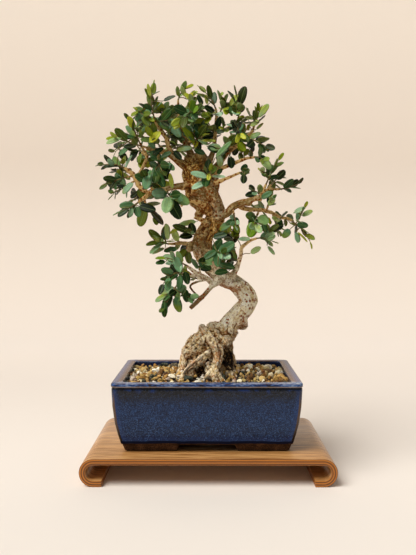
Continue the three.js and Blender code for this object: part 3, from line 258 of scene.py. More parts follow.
# ---- The leafy shoots: start, second point, tip, pairs of leaves, leaf length, width share, turn ----
SPRAYS = {
    "tip_left": [
        ((-58, -8, 382), (-60, -8, 387), (-62, -10, 415), 4, 18, 0.4, 20),
        ((-61, -8, 391), (-66, -14, 393), (-76, -24, 391), 3, 14, 0.49, 60),
    ],
    "tip_left_inner": [((-56, -7, 378), (-52, -2, 384), (-40, 12, 392), 3, 21, 0.42, 40)],
    "upper_left_a": [
        ((-71, -10, 350), (-75, -14, 358), (-84, -22, 381), 3, 17, 0.38, 0),
        ((-78, -16, 366), (-88, -8, 362), (-106, 10, 352), 3, 16, 0.38, 70),
    ],
    "upper_left_b": [((-66, -12, 353), (-72, -18, 354), (-98, -38, 360), 3, 17, 0.4, 30)],
    "left_a": [((-86, -16, 327), (-92, -16, 331), (-115, -14, 335), 3, 16, 0.4, 50)],
    "left_b": [((-83, -17, 322), (-88, -26, 320), (-107, -42, 311), 3, 17, 0.4, 10)],
    "left_c": [((-79, -17, 318), (-87, -8, 314), (-107, 8, 306), 3, 17, 0.44, 80)],
    "left_d": [((-72, -17, 297), (-77, -18, 293), (-93, -24, 284), 3, 17, 0.44, 25)],
    "left_e": [((-70, -16, 298), (-70, -8, 292), (-62, 8, 280), 3, 22, 0.42, 45)],
    "mid_left_a": [((-54, -8, 350), (-55, -18, 342), (-49, -40, 325), 3, 22, 0.46, 35)],
    "mid_left_b": [((-47, -6, 349), (-53, -13, 355), (-61, -28, 363), 3, 20, 0.44, 15)],
    "mid_a": [((-48, -13, 308), (-45, -21, 304), (-38, -42, 296), 3, 25, 0.42, 65)],
    "mid_b": [((-62, -15, 306), (-62, -24, 310), (-66, -42, 318), 3, 18, 0.54, 0)],
    "top_b": [((-34, 5, 404), (-34, 5, 409), (-26, 4, 421), 3, 16, 0.36, 75)],
    "top_b_side": [((-31, 8, 381), (-26, 4, 386), (-16, -6, 393), 3, 19, 0.4, 30)],
    "top_b_front": [((-25, 10, 363), (-19, 1, 363), (-5, -20, 365), 3, 20, 0.42, 5)],
    "top_c": [((9, 4, 393), (8, 3, 399), (-3, 0, 416), 3, 18, 0.36, 55)],
    "top_c_side": [((8, 5, 388), (13, 11, 396), (15, 22, 418), 3, 19, 0.42, 20)],
    "top_right_a": [((32, 12, 386), (34, 12, 391), (32, 8, 413), 3, 20, 0.44, 85)],
    "top_right_b": [((49, 4, 374), (51, 3, 379), (56, -4, 394), 3, 17, 0.42, 40)],
    "top_right_c": [((29, 12, 358), (23, 1, 356), (9, -26, 350), 3, 20, 0.44, 60)],
    "top_right_d": [((42, 8, 367), (48, -2, 364), (61, -22, 354), 3, 18, 0.5, 10)],
    "top_right_e": [((36, 10, 363), (35, -1, 368), (31, -22, 375), 3, 16, 0.46, 50)],
    "top_right_f": [((42, -17, 341), (50, -22, 342), (58, -38, 337), 3, 16, 0.46, 30)],
    "centre": [((-4, -8, 316), (-3, -18, 320), (3, -44, 324), 3, 20, 0.38, 0)],
    "centre_right": [((29, -19, 323), (34, -22, 325), (41, -32, 326), 3, 10, 0.64, 70)],
    "right_up_a": [
        ((61, -17, 308), (63, -17, 313), (76, -20, 339), 4, 14, 0.42, 25),
        ((67, -18, 321), (63, -24, 323), (55, -38, 326), 3, 9, 0.69, 10),
    ],
    "right_up_c": [((72, -14, 308), (78, -13, 308), (99, -8, 314), 3, 14, 0.42, 55)],
    "right_up_d": [((59, -17, 303), (55, -24, 303), (47, -42, 305), 3, 14, 0.46, 20)],
    "right_a": [
        ((89, 6, 277), (94, 5, 274), (114, -2, 251), 4, 14, 0.46, 35),
        ((98, 4, 270), (102, -3, 276), (106, -14, 288), 3, 14, 0.46, 0),
    ],
    "right_c": [((57, 1, 286), (54, -9, 280), (49, -34, 268), 3, 20, 0.5, 75)],
    "right_d": [((72, 5, 283), (75, 12, 276), (82, 28, 264), 3, 16, 0.46, 15)],
    "right_e": [((65, 3, 285), (66, -6, 290), (70, -26, 297), 3, 13, 0.44, 45)],
    "under_right": [((27, -7, 288), (28, -14, 281), (30, -30, 266), 3, 10, 0.54, 40)],
    "front_centre": [((-4, -5, 241), (2, -15, 240), (13, -42, 238), 3, 21, 0.44, 60)],
    "hook_end": [((47, -11, 252), (53, -12, 254), (68, -18, 252), 3, 16, 0.38, 30)],
    "hook_back": [((31, 4, 232), (30, 10, 240), (27, 26, 253), 3, 13, 0.4, 0)],
    "low_left_a": [((-39, 1, 248), (-45, -1, 248), (-57, -12, 252), 4, 19, 0.36, 15)],
    "low_left_b": [((-6, -3, 254), (-14, -14, 257), (-24, -38, 264), 3, 18, 0.4, 50)],
    "low_a": [((-15, -13, 217), (-24, -16, 224), (-47, -26, 233), 3, 18, 0.44, 5)],
    "low_b": [((-8, -11, 212), (-10, -22, 220), (-5, -42, 227), 3, 19, 0.42, 80)],
    "low_d": [
        ((-29, -12, 210), (-33, -13, 205), (-48, -24, 179), 4, 19, 0.44, 20),
        ((-38, -15, 199), (-34, -22, 196), (-20, -36, 190), 3, 17, 0.52, 55),
    ],
    "low_c": [((-23, -12, 213), (-29, -20, 216), (-44, -40, 211), 3, 18, 0.42, 30)],
    "upper_left_back": [((-68, -12, 344), (-74, 2, 350), (-92, 44, 380), 3, 18, 0.4, 30)],
    "left_back": [((-84, -17, 324), (-90, -4, 328), (-108, 48, 336), 4, 17, 0.4, 0)],
    "left_back_low": [((-75, -17, 309), (-78, -4, 306), (-92, 42, 296), 3, 18, 0.42, 60)],
    "mid_left_back": [((-24, 10, 359), (-31, 20, 360), (-52, 48, 354), 3, 20, 0.4, 20)],
    "top_b_back": [((-32, 7, 387), (-35, 17, 393), (-42, 46, 408), 3, 18, 0.4, 45)],
    "top_right_back": [((31, 12, 359), (35, 22, 366), (50, 54, 392), 4, 19, 0.42, 10)],
    "right_up_back": [((66, -16, 309), (69, -6, 313), (88, 40, 330), 4, 17, 0.42, 50)],
    "right_back": [((81, 6, 278), (84, 16, 279), (98, 54, 274), 3, 16, 0.46, 25)],
    "low_left_back": [((-25, 6, 249), (-31, 16, 250), (-42, 48, 254), 3, 19, 0.4, 70)],
    "low_back": [((-1, -9, 209), (-12, -2, 209), (-32, 36, 215), 3, 18, 0.42, 15)],
}
# The pieces of foliage, each made of the sprays of one region.
REGIONS = {
    "upper_left": ["tip_left", "tip_left_inner", "upper_left_a", "upper_left_b", "upper_left_back"],
    "left": ["left_a", "left_b", "left_c", "left_d", "left_e", "left_back", "left_back_low"],
    "middle": ["mid_left_a", "mid_left_b", "mid_a", "mid_b", "mid_left_back", "centre"],
    "top": ["top_b", "top_b_side", "top_b_front", "top_c", "top_c_side", "top_b_back"],
    "top_right": [
        "top_right_a", "top_right_b", "top_right_c", "top_right_d", "top_right_e", "top_right_f",
        "top_right_back",
    ],
    "right_upper": ["centre_right", "right_up_a", "right_up_c", "right_up_d", "right_up_back"],
    "right": ["right_a", "right_c", "right_d", "right_e", "under_right", "right_back"],
    "low_left": ["low_left_a", "low_left_b", "low_left_back", "front_centre", "hook_end", "hook_back"],
    "low": ["low_a", "low_b", "low_c", "low_d", "low_back"],
}
# Shoots whose tips are young and lime green, and how much.
FRESH = {
    "tip_left": 0.8, "upper_left_b": 0.7, "mid_left_b": 0.8, "top_b": 0.7, "top_b_front": 0.8, "top_c": 0.5,
    "top_right_b": 0.7, "top_right_f": 0.4, "right_up_a": 0.7, "right_a": 0.9, "low_left_a": 0.8,
    "centre": 0.6, "hook_end": 0.4,
}
# Where the crown is full, seen from the front: middle x and z, half width and half height, fullness.
LOBES = [
    (-62, 406, 8, 9, 0.8), (-80, 389, 11, 12, 1.1), (-55, 374, 24, 22, 1.3), (-97, 357, 9, 8, 0.9),
    (-105, 323, 10, 13, 1), (-88, 343, 13, 8, 1.2), (-66, 343, 10, 8, 0.8), (-70, 313, 14, 12, 0.9),
    (-84, 297, 9, 6, 0.5), (-40, 312, 12, 12, 0.6), (-24, 400, 12, 10, 1.1), (-13, 374, 22, 20, 1.2),
    (0, 396, 14, 9, 1.2), (22, 398, 14, 12, 1.1), (42, 384, 9, 10, 0.9), (27, 364, 18, 16, 1.2),
    (46, 360, 10, 12, 1), (4, 334, 14, 6, 0.7), (66, 314, 9, 9, 0.6), (88, 310, 8, 5, 0.5),
    (66, 290, 20, 4, 0.8), (74, 276, 14, 8, 0.6), (99, 262, 8, 5, 0.3), (20, 258, 12, 10, 1),
    (15, 236, 9, 9, 0.5), (54, 246, 10, 5, 0.6), (-44, 250, 11, 9, 0.8), (-25, 238, 10, 8, 0.8),
    (-30, 220, 16, 6, 0.4),
]
# Leaves that stand out at the front of the crown: x and z of foot and of tip, width share, tone, youth.
FRONT_LEAVES = [
    (-80, 372, -86, 385, 0.5, 0.8, 1), (-49, 396, -59, 404, 0.8, 0.6, 0.9),
    (-64, 356, -51, 367, 0.6, 0.9, 1), (-14, 357, -29, 379, 0.3, 0.5, 0.6), (-15, 363, -14, 354, 0.6, 1, 1),
    (-8, 360, 8, 359, 0.25, 0.7, 0.8), (-63, 408, -66, 422, 0.3, 0.8, 0.5),
    (-60, 411, -59, 423, 0.6, 0.7, 0), (-25, 411, -30, 423, 0.4, 0.8, 0.5),
    (-23, 409, -15, 418, 0.4, 0.7, 0.3), (24, 403, 33, 416, 0.5, 0.93, 0.3),
    (20, 402, 15, 414, 0.45, 0.4, 0), (-1, 402, -3, 413, 0.35, 0.9, 0.6), (46, 379, 57, 384, 0.6, 0.9, 0.6),
    (53, 375, 61, 382, 0.35, 0.9, 0.5), (0, 319, -19, 324, 0.42, 0.8, 0), (-1, 315, -18, 307, 0.4, 0.84, 0),
    (3, 319, 18, 318, 0.25, 0.84, 0.1), (1, 323, 0, 315, 0.6, 1, 1), (-44, 299, -30, 274, 0.46, 0.25, 0),
    (-44, 305, -58, 297, 0.55, 0.66, 0), (-42, 302, -27, 294, 0.55, 0.7, 0),
    (-38, 306, -41, 323, 0.3, 0.94, 0.5), (-63, 322, -66, 305, 0.62, 0.7, 0),
    (-57, 327, -47, 308, 0.45, 0.45, 0), (-82, 316, -94, 303, 0.5, 0.74, 0),
    (-77, 310, -71, 297, 0.6, 0.55, 0), (-77, 289, -57, 284, 0.5, 0.12, 0),
    (-79, 289, -75, 277, 0.66, 0.6, 0), (-83, 287, -85, 277, 0.6, 0.9, 0),
    (49, 280, 47, 262, 0.58, 0.36, 0), (58, 269, 61, 260, 0.7, 0.4, 0), (86, 271, 67, 262, 0.42, 0.2, 0),
    (92, 265, 83, 255, 0.6, 0.7, 0), (98, 262, 100, 249, 0.6, 0.76, 0), (94, 282, 107, 288, 0.4, 0.84, 0.1),
    (99, 262, 111, 250, 0.2, 0.8, 0.9), (65, 290, 73, 297, 0.6, 0.93, 0.4),
    (24, 344, 25, 330, 0.6, 0.25, 0), (38, 322, 37, 312, 0.7, 0.15, 0), (37, 323, 44, 327, 0.9, 0.4, 0),
    (7, 338, 24, 355, 0.25, 0.66, 0.1), (-44, 383, -31, 366, 0.5, 0.76, 0),
    (-42, 372, -56, 383, 0.42, 0.7, 0), (-36, 351, -18, 354, 0.4, 0.78, 0),
    (-65, 350, -50, 337, 0.5, 0.62, 0), (-92, 360, -108, 354, 0.4, 0.93, 0.2),
    (-103, 333, -109, 340, 0.6, 0.76, 0), (10, 237, 28, 249, 0.55, 0.6, 0), (9, 241, 10, 223, 0.5, 0.62, 0),
    (9, 241, -5, 232, 0.5, 0.55, 0), (23, 218, 7, 216, 0.5, 0.5, 0), (-12, 230, 3, 220, 0.45, 0.4, 0),
    (-45, 251, -46, 270, 0.34, 0.92, 0.3), (-48, 249, -65, 263, 0.24, 0.92, 0.3),
    (-48, 244, -63, 237, 0.3, 0.9, 0.2), (-48, 187, -48, 168, 0.4, 0.4, 0),
    (-37, 191, -31, 173, 0.5, 0.62, 0), (-26, 200, -23, 185, 0.5, 0.4, 0),
    (-37, 235, -30, 217, 0.5, 0.72, 0), (-26, 219, -22, 204, 0.5, 0.3, 0),
    (-30, 216, -32, 198, 0.4, 0.6, 0), (-42, 213, -44, 198, 0.5, 0.68, 0),
    (46, 237, 58, 244, 0.5, 0.94, 0.2), (64, 246, 72, 236, 0.35, 0.92, 0.1),
    (63, 251, 73, 257, 0.5, 0.93, 0.1), (-34, 243, -50, 240, 0.5, 0.6, 0), (4, 254, 20, 258, 0.5, 0.3, 0),
    (10, 226, 28, 222, 0.45, 0.35, 0), (44, 364, 58, 371, 0.5, 0.7, 0.2), (8, 374, 14, 390, 0.45, 0.3, 0),
    (-50, 404, -36, 409, 0.4, 0.3, 0), (-24, 409, -12, 417, 0.5, 0.8, 0.4),
    (-6, 400, -12, 411, 0.45, 0.3, 0), (-66, 338, -54, 331, 0.5, 0.5, 0), (-98, 344, -87, 351, 0.5, 0.6, 0),
    (-46, 229, -57, 227, 0.5, 0.5, 0), (-47, 192, -58, 185, 0.5, 0.7, 0.2),
    (-48, 206, -52, 194, 0.5, 0.2, 0), (56, 296, 68, 303, 0.5, 0.6, 0), (-17, 352, -4, 346, 0.5, 0.5, 0),
    (-2, 353, 10, 346, 0.5, 0.3, 0), (-62, 345, -49, 352, 0.5, 0.3, 0), (-52, 340, -40, 346, 0.5, 0.5, 0),
    (-39, 351, -30, 341, 0.5, 0.25, 0), (-46, 334, -36, 326, 0.5, 0.6, 0),
    (-41, 336, -44, 322, 0.45, 0.2, 0), (-58, 352, -66, 361, 0.5, 0.7, 0),
    (32, 253, 46, 253, 0.4, 0.8, 0.1), (-12, 273, -33, 269, 0.34, 0.93, 0.2),
    (-14, 259, -30, 266, 0.35, 0.93, 0.1),
]
# Swellings of the wood that leaves keep away from: x, y, z, radius.
KNOBS = [(36, 5, 155, 9.5), (-6, 4, 154, 5), (-22, -4, 138, 7), (-19, 1, 246, 5.5), (44, -11, 294, 4.8)]
# How leaves stand on their shoot, and how far they keep from what isn't theirs. Angles in degrees.
CLEARANCE = 0.3
FIRST_PAIR, LAST_PAIR = 0.2, 0.97
OPEN, OPEN_AT_TIP = 62.0, 26.0
SCATTER = {"turn": 16.0, "open": 16.0, "twist": 25.6, "length": 0.18, "bend": 0.12}
YOUNG, YOUTH = 0.6, 0.35
FOLD, SEAT = 0.22, 0.2
OWN_BASE, WOOD_BASE = 0.2, 0.4
SWING = {"turn": 17.0, "open": 11.0, "shrink": 0.035}
REACH_X, REACH_Y, TOP = 129.0, 78.0, 430.0
CROWN_Y, CROWN_DEPTH = 4.0, 46.0
# Room for the leaves of a shoot: gap to other pieces, gap to its own spray, places that a leaf tries.
SPRAY_ROOM, EXTRA_ROOM = (2.1, 2.2, 18), (0.5, 0.5, 8)
# Small shoots that fill the crown: how many are tried, and how short and how long they may be.
EXTRA_SHOOTS, SHORTEST, LONGEST = 100, 7.0, 26.0
SEEDS = {"stones": 21, "leaves": 7, "tones": 59, "extra shoots": 43}
# The kinds of blade: curl, twist, wave, thickness.
BLADES = [(0, 0, 0, 0.13), (0.1, 0.25, 0.05, 0.12), (-0.08, -0.3, 0.06, 0.13), (0.16, 0.1, -0.07, 0.12)]
# Owners in the cloud that leaves keep away from: sprays are numbered after the wood.
WOOD, FRONT = 0, 900


# ---- Small tools ----
def seeded(seed):
    """Numbers from 0 to 1 that are the same in every run."""
    mask = 0xFFFFFFFF
    state = seed & mask

    def draw():
        nonlocal state
        state = (state + 0x6D2B79F5) & mask
        t = ((state ^ (state >> 15)) * (state | 1)) & mask
        t ^= (t + (((t ^ (t >> 7)) * (t | 61)) & mask)) & mask
        return ((t ^ (t >> 14)) & mask) / 4294967296

    return draw


def unit(v):
    return v / np.linalg.norm(v)


def angles(count):
    """The angles of places evenly round a ring."""
    return [2 * math.pi * k / count for k in range(count)]


def near(points, place, reach):
    """How near each point is to a place: 1 at the place, and little past the reach."""
    return np.exp(-((np.linalg.norm(points - np.array(place), axis=1) / reach) ** 2))


def new_mesh(name, points, faces=(), edges=(), size=MM):
    mesh = bpy.data.meshes.new(name)
    mesh.from_pydata([tuple(p) for p in np.asarray(points) * size], edges, faces)
    mesh.validate()
    return mesh


def smoothed(mesh, angle):
    """Shades a mesh smooth where its faces meet at less than an angle in degrees."""
    mesh.polygons.foreach_set("use_smooth", [True] * len(mesh.polygons))
    mesh.set_sharp_from_angle(angle=math.radians(angle))


def new_piece(name, mesh, smooth_under=None, finish=None):
    if smooth_under is not None:
        smoothed(mesh, smooth_under)
    if finish is not None:
        mesh.materials.append(finish)
    piece = bpy.data.objects.new(name, mesh)
    scene.collection.objects.link(piece)
    return piece


def modify(piece, kind, **settings):
    modifier = piece.modifiers.new(kind.lower(), kind)
    for key, value in settings.items():
        setattr(modifier, key, value)
    return modifier


def applied(piece):
    """The piece's mesh with its modifiers applied. The piece itself is removed."""
    bpy.context.view_layer.update()
    depsgraph = bpy.context.evaluated_depsgraph_get()
    mesh = bpy.data.meshes.new_from_object(
        piece.evaluated_get(depsgraph), preserve_all_data_layers=True, depsgraph=depsgraph
    )
    mesh.name = piece.name
    bpy.data.objects.remove(piece)
    return mesh


def cut_by(mesh, *tools):
    """The mesh with closed tool meshes cut away from it."""
    piece = new_piece(mesh.name, mesh)
    cutters = [new_piece("cutter", tool) for tool in tools]
    for cutter in cutters:
        modify(piece, "BOOLEAN", operation="DIFFERENCE", solver="EXACT", object=cutter)
    made = applied(piece)
    for cutter in cutters:
        bpy.data.objects.remove(cutter)
    return made


def joined(name, pieces):
    """Several pieces as one, which keeps their materials and attributes."""
    with bpy.context.temp_override(active_object=pieces[0], selected_editable_objects=pieces):
        bpy.ops.object.join()
    pieces[0].name = name
    pieces[0].data.name = name
    return pieces[0]


def fixed_out(mesh):
    """Turns all faces of a closed mesh outwards."""
    work = bmesh.new()
    work.from_mesh(mesh)
    bmesh.ops.recalc_face_normals(work, faces=work.faces)
    work.to_mesh(mesh)
    work.free()
    return mesh


def vectors_of(mesh, name):
    found = np.zeros(len(mesh.vertices) * 3, np.float32)
    mesh.vertices.foreach_get(name, found)
    return found.reshape(-1, 3).astype(float)


def corners_of(mesh):
    return vectors_of(mesh, "co") / MM


def paint(mesh, name, values, kind="FLOAT", domain="POINT"):
    """Stores a value for each point, face or corner under a name."""
    layer = mesh.attributes.new(name, kind, domain)
    field = "vector" if kind == "FLOAT_VECTOR" else "value"
    layer.data.foreach_set(field, np.asarray(values, np.int32 if kind == "INT" else np.float32).ravel())


def paint_uv(mesh, name, places):
    mesh.uv_layers.new(name=name).data.foreach_set("uv", np.array(places, np.float32).ravel())


def ride_and_replace(piece, slot, *nodes):
    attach(piece, "root")
    if nodes:
        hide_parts(*nodes)


def loft(rings):
    """Points and faces of a closed surface through rings of the same count."""
    count = len(rings[0])
    points = [p for ring in rings for p in ring]
    faces = []
    for start in range(0, len(points) - count, count):
        for j in range(count):
            a, b = start + j, start + (j + 1) % count
            faces.append((a, b, b + count, a + count))
    faces.append(tuple(reversed(range(count))))
    faces.append(tuple(range(len(points) - count, len(points))))
    return points, faces


def merged(parts):
    """Several (points, faces) as one."""
    points, faces = [], []
    for some_points, some_faces in parts:
        start = len(points)
        points.extend(some_points)
        faces.extend(tuple(start + i for i in face) for face in some_faces)
    return points, faces


# ---- Node tools ----
building = []  # the node tree that is being built, while it is
FLOAT, VECTOR, INT = "NodeSocketFloat", "NodeSocketVector", "NodeSocketInt"
GEOMETRY, COLLECTION, MATERIAL = "NodeSocketGeometry", "NodeSocketCollection", "NodeSocketMaterial"


class Out:
    """An output of a node. Reckoning with it adds Math nodes."""

    def __init__(self, socket):
        self.socket = socket

    def __add__(self, other):
        return maths("ADD", self, other)

    def __sub__(self, other):
        return maths("SUBTRACT", self, other)

    def __rsub__(self, other):
        return maths("SUBTRACT", other, self)

    def __mul__(self, other):
        return maths("MULTIPLY", self, other)

    def __truediv__(self, other):
        return maths("DIVIDE", self, other)


class Outputs:
    """The outputs of a node, by name or by number."""

    def __init__(self, node):
        self.node = node

    def __getitem__(self, key):
        return Out(self.node.outputs[key])

    def __iter__(self):
        return map(Out, self.node.outputs)


def connect(node, inputs):
    """Gives a node's inputs their values, or links them to outputs."""
    for key, value in inputs.items():
        if isinstance(value, Out):
            building[-1].links.new(value.socket, node.inputs[key])
        else:
            node.inputs[key].default_value = value


def put(kind, inputs=None, **settings):
    node = building[-1].nodes.new(kind)
    for key, value in settings.items():
        setattr(node, key, value)
    connect(node, inputs or {})
    return Outputs(node)


def maths(operation, *values, clamp=False):
    return put("ShaderNodeMath", dict(enumerate(values)), operation=operation, use_clamp=clamp)[0]


def tint(value):
    """What a colour socket takes. Three values are a colour as screens give it, each from 0 to 255."""
    if not isinstance(value, tuple) or len(value) == 4:
        return value
    shares = [v / 255 for v in value]
    return (*(s / 12.92 if s <= 0.04045 else ((s + 0.055) / 1.055) ** 2.4 for s in shares), 1.0)


def blend(factor, first, second, mode="MIX"):
    inputs = {0: factor, 6: tint(first), 7: tint(second)}
    return put("ShaderNodeMix", inputs, data_type="RGBA", blend_type=mode)[2]


def fade(value, start, end, low=0.0, high=1.0):
    """Goes smoothly from low to high as the value goes from start to end."""
    inputs = dict(enumerate((value, start, end, low, high)))
    return put("ShaderNodeMapRange", inputs, interpolation_type="SMOOTHSTEP")[0]


def ramp(value, *stops):
    """Colours along a value: each stop is its place and then its colour."""
    outputs = put("ShaderNodeValToRGB", {0: value})
    elements = outputs.node.color_ramp.elements
    while len(elements) < len(stops):
        elements.new(0.5)
    for element, (place, *colour) in zip(elements, stops):
        element.position = place
        element.color = tint(tuple(colour))
    return outputs[0]


def attribute(name, output="Fac"):
    return put("ShaderNodeAttribute", attribute_name=name)[output]


def object_place():
    return put("ShaderNodeTexCoord")["Object"]


def split(vector):
    return put("ShaderNodeSeparateXYZ", {0: vector})


def combined(*values):
    return put("ShaderNodeCombineXYZ", dict(enumerate(values)))[0]


def clouds(vector, scale, detail=3.0, roughness=0.5, distortion=0.0):
    return put("ShaderNodeTexNoise", {
        "Vector": vector, "Scale": scale, "Detail": detail, "Roughness": roughness, "Distortion": distortion,
    })


def cloudy(vector, scale):
    return clouds(vector, scale, roughness=0.55)["Fac"]


def bump(height, distance, strength=1.0):
    return put("ShaderNodeBump", {"Height": height, "Distance": distance * MM, "Strength": strength})[0]


def scaled(vector, share):
    return put("ShaderNodeVectorMath", {0: vector, "Scale": share}, operation="SCALE")[0]


def moved_by_clouds(vector, scale, detail, share):
    offset = scaled(clouds(vector, scale, detail)["Color"], share)
    return put("ShaderNodeVectorMath", {0: vector, 1: offset}, operation="ADD")[0]


def drawn_out(vector, stretch):
    """A pattern on this vector is longer along Z."""
    x, y, z = split(vector)
    return combined(x, y, z / stretch)


def group_of(build, kind, result):
    """A node group of a function: its arguments are the inputs, and what it gives is the outputs."""
    tree = bpy.data.node_groups.new(build.__name__, kind)
    arguments = inspect.signature(build).parameters.values()
    for argument in arguments:
        socket = tree.interface.new_socket(
            argument.name.title(), in_out="INPUT", socket_type=argument.annotation
        )
        if argument.default is not argument.empty:
            socket.default_value = argument.default
    building.append(tree)
    entry = Outputs(tree.nodes.new("NodeGroupInput"))
    outputs = build(*(entry[argument.name.title()] for argument in arguments))
    for label in outputs:
        tree.interface.new_socket(label, in_out="OUTPUT", socket_type=result)
    connect(tree.nodes.new("NodeGroupOutput"), outputs)
    building.pop()
    return tree


def shader_group(build):
    """A shader group, as a function that puts it in a material with its own values."""
    tree = group_of(build, "ShaderNodeTree", FLOAT)
    return lambda *values: put("ShaderNodeGroup", dict(enumerate(values)), node_tree=tree)


def geometry_rule(build):
    return group_of(build, "GeometryNodeTree", GEOMETRY)


def finish(build):
    """A material of a function that gives the inputs of its shader."""
    made = bpy.data.materials.new(build.__name__)
    made.use_nodes = True
    building.append(made.node_tree)
    connect(made.node_tree.nodes["Principled BSDF"], build())
    building.pop()
    return made


# ---- Effects that several finishes share ----
@shader_group
def flecks(vector: VECTOR, scale: FLOAT = 400.0, size: FLOAT = 0.3, share: FLOAT = 0.5):
    """Irregular spots on a share of the cells of a scattered pattern."""
    moved = moved_by_clouds(vector, scale, 2.0, 0.35 / 400)
    cells = put("ShaderNodeTexVoronoi", {"Vector": moved, "Scale": scale})
    spot = put("ShaderNodeMapRange", {0: cells["Distance"], 1: size, 2: size * 0.6})[0]
    own = put("ShaderNodeSeparateColor", {0: cells["Color"]})[0]
    return {"Mask": spot * maths("LESS_THAN", own, share)}


@shader_group
def fibre(vector: VECTOR, scale: FLOAT = 300.0, stretch: FLOAT = 12.0, detail: FLOAT = 4.0):
    """Streaks that run along the Z of a vector, with fine ones in coarse ones."""
    long = drawn_out(vector, stretch)
    coarse = clouds(long, scale, detail, 0.6, 0.4)["Fac"]
    return {"Value": coarse, "Fine": clouds(long, scale * 3.7, 2.0)["Fac"]}


@shader_group
def mottle(vector: VECTOR, large: FLOAT = 40.0, small: FLOAT = 300.0, broken: FLOAT = 0.4):
    """Large soft patches broken up by small ones."""
    patches, crumbs = clouds(vector, large)["Fac"], clouds(vector, small)["Fac"]
    return {"Value": put("ShaderNodeMix", {0: broken, 2: patches, 3: crumbs})[0]}


@shader_group
def plates(vector: VECTOR, scale: FLOAT = 200.0, stretch: FLOAT = 2.0, width: FLOAT = 0.12):
    """A surface cracked into plates, longer along the Z of a vector."""
    moved = moved_by_clouds(drawn_out(vector, stretch), 180.0, 3.0, 0.007)
    cells = put("ShaderNodeTexVoronoi", {"Vector": moved, "Scale": scale}, feature="DISTANCE_TO_EDGE")
    return {"Crack": put("ShaderNodeMapRange", {0: cells["Distance"], 1: width, 2: 0.0})[0]}


# ---- Finishes ----
@finish
def veneer():
    """Pale satin veneer with its grain along the board, and thin plies in its edges."""
    along, across, _ = split(put("ShaderNodeUVMap", uv_map="grain")[0])
    place = combined(across, 0.0, along)
    coarse, fine = fibre(place, 460.0, 40.0)
    pores = fibre(place, 1100.0, 60.0, 1.0)[0]
    face = ramp(coarse, (0.36, 126, 80, 34), (0.45, 164, 110, 54), (0.53, 214, 164, 104), (0.6, 168, 114, 56),
                (0.68, 134, 88, 42))
    face = blend(fade(pores, 0.46, 0.36) * 0.55, face, (104, 64, 30))
    ply = maths("FRACT", attribute("through") * 2.5)
    line = fade(maths("ABSOLUTE", ply - 0.5), 0.18, 0.3)
    plies = blend(fine * 0.5, blend(line, (206, 124, 30), (110, 60, 8)), (90, 52, 18))
    edge = attribute("edge")
    return {
        "Base Color": blend(edge, face, plies),
        "Roughness": fade(coarse, 0.2, 0.8, 0.36, 0.5),
        "Normal": bump(fine + line * edge, 0.12, 0.5),
        "Coat Weight": fade(edge, 0.0, 1.0, 0.35, 0.08),
        "Coat Roughness": 0.22,
    }


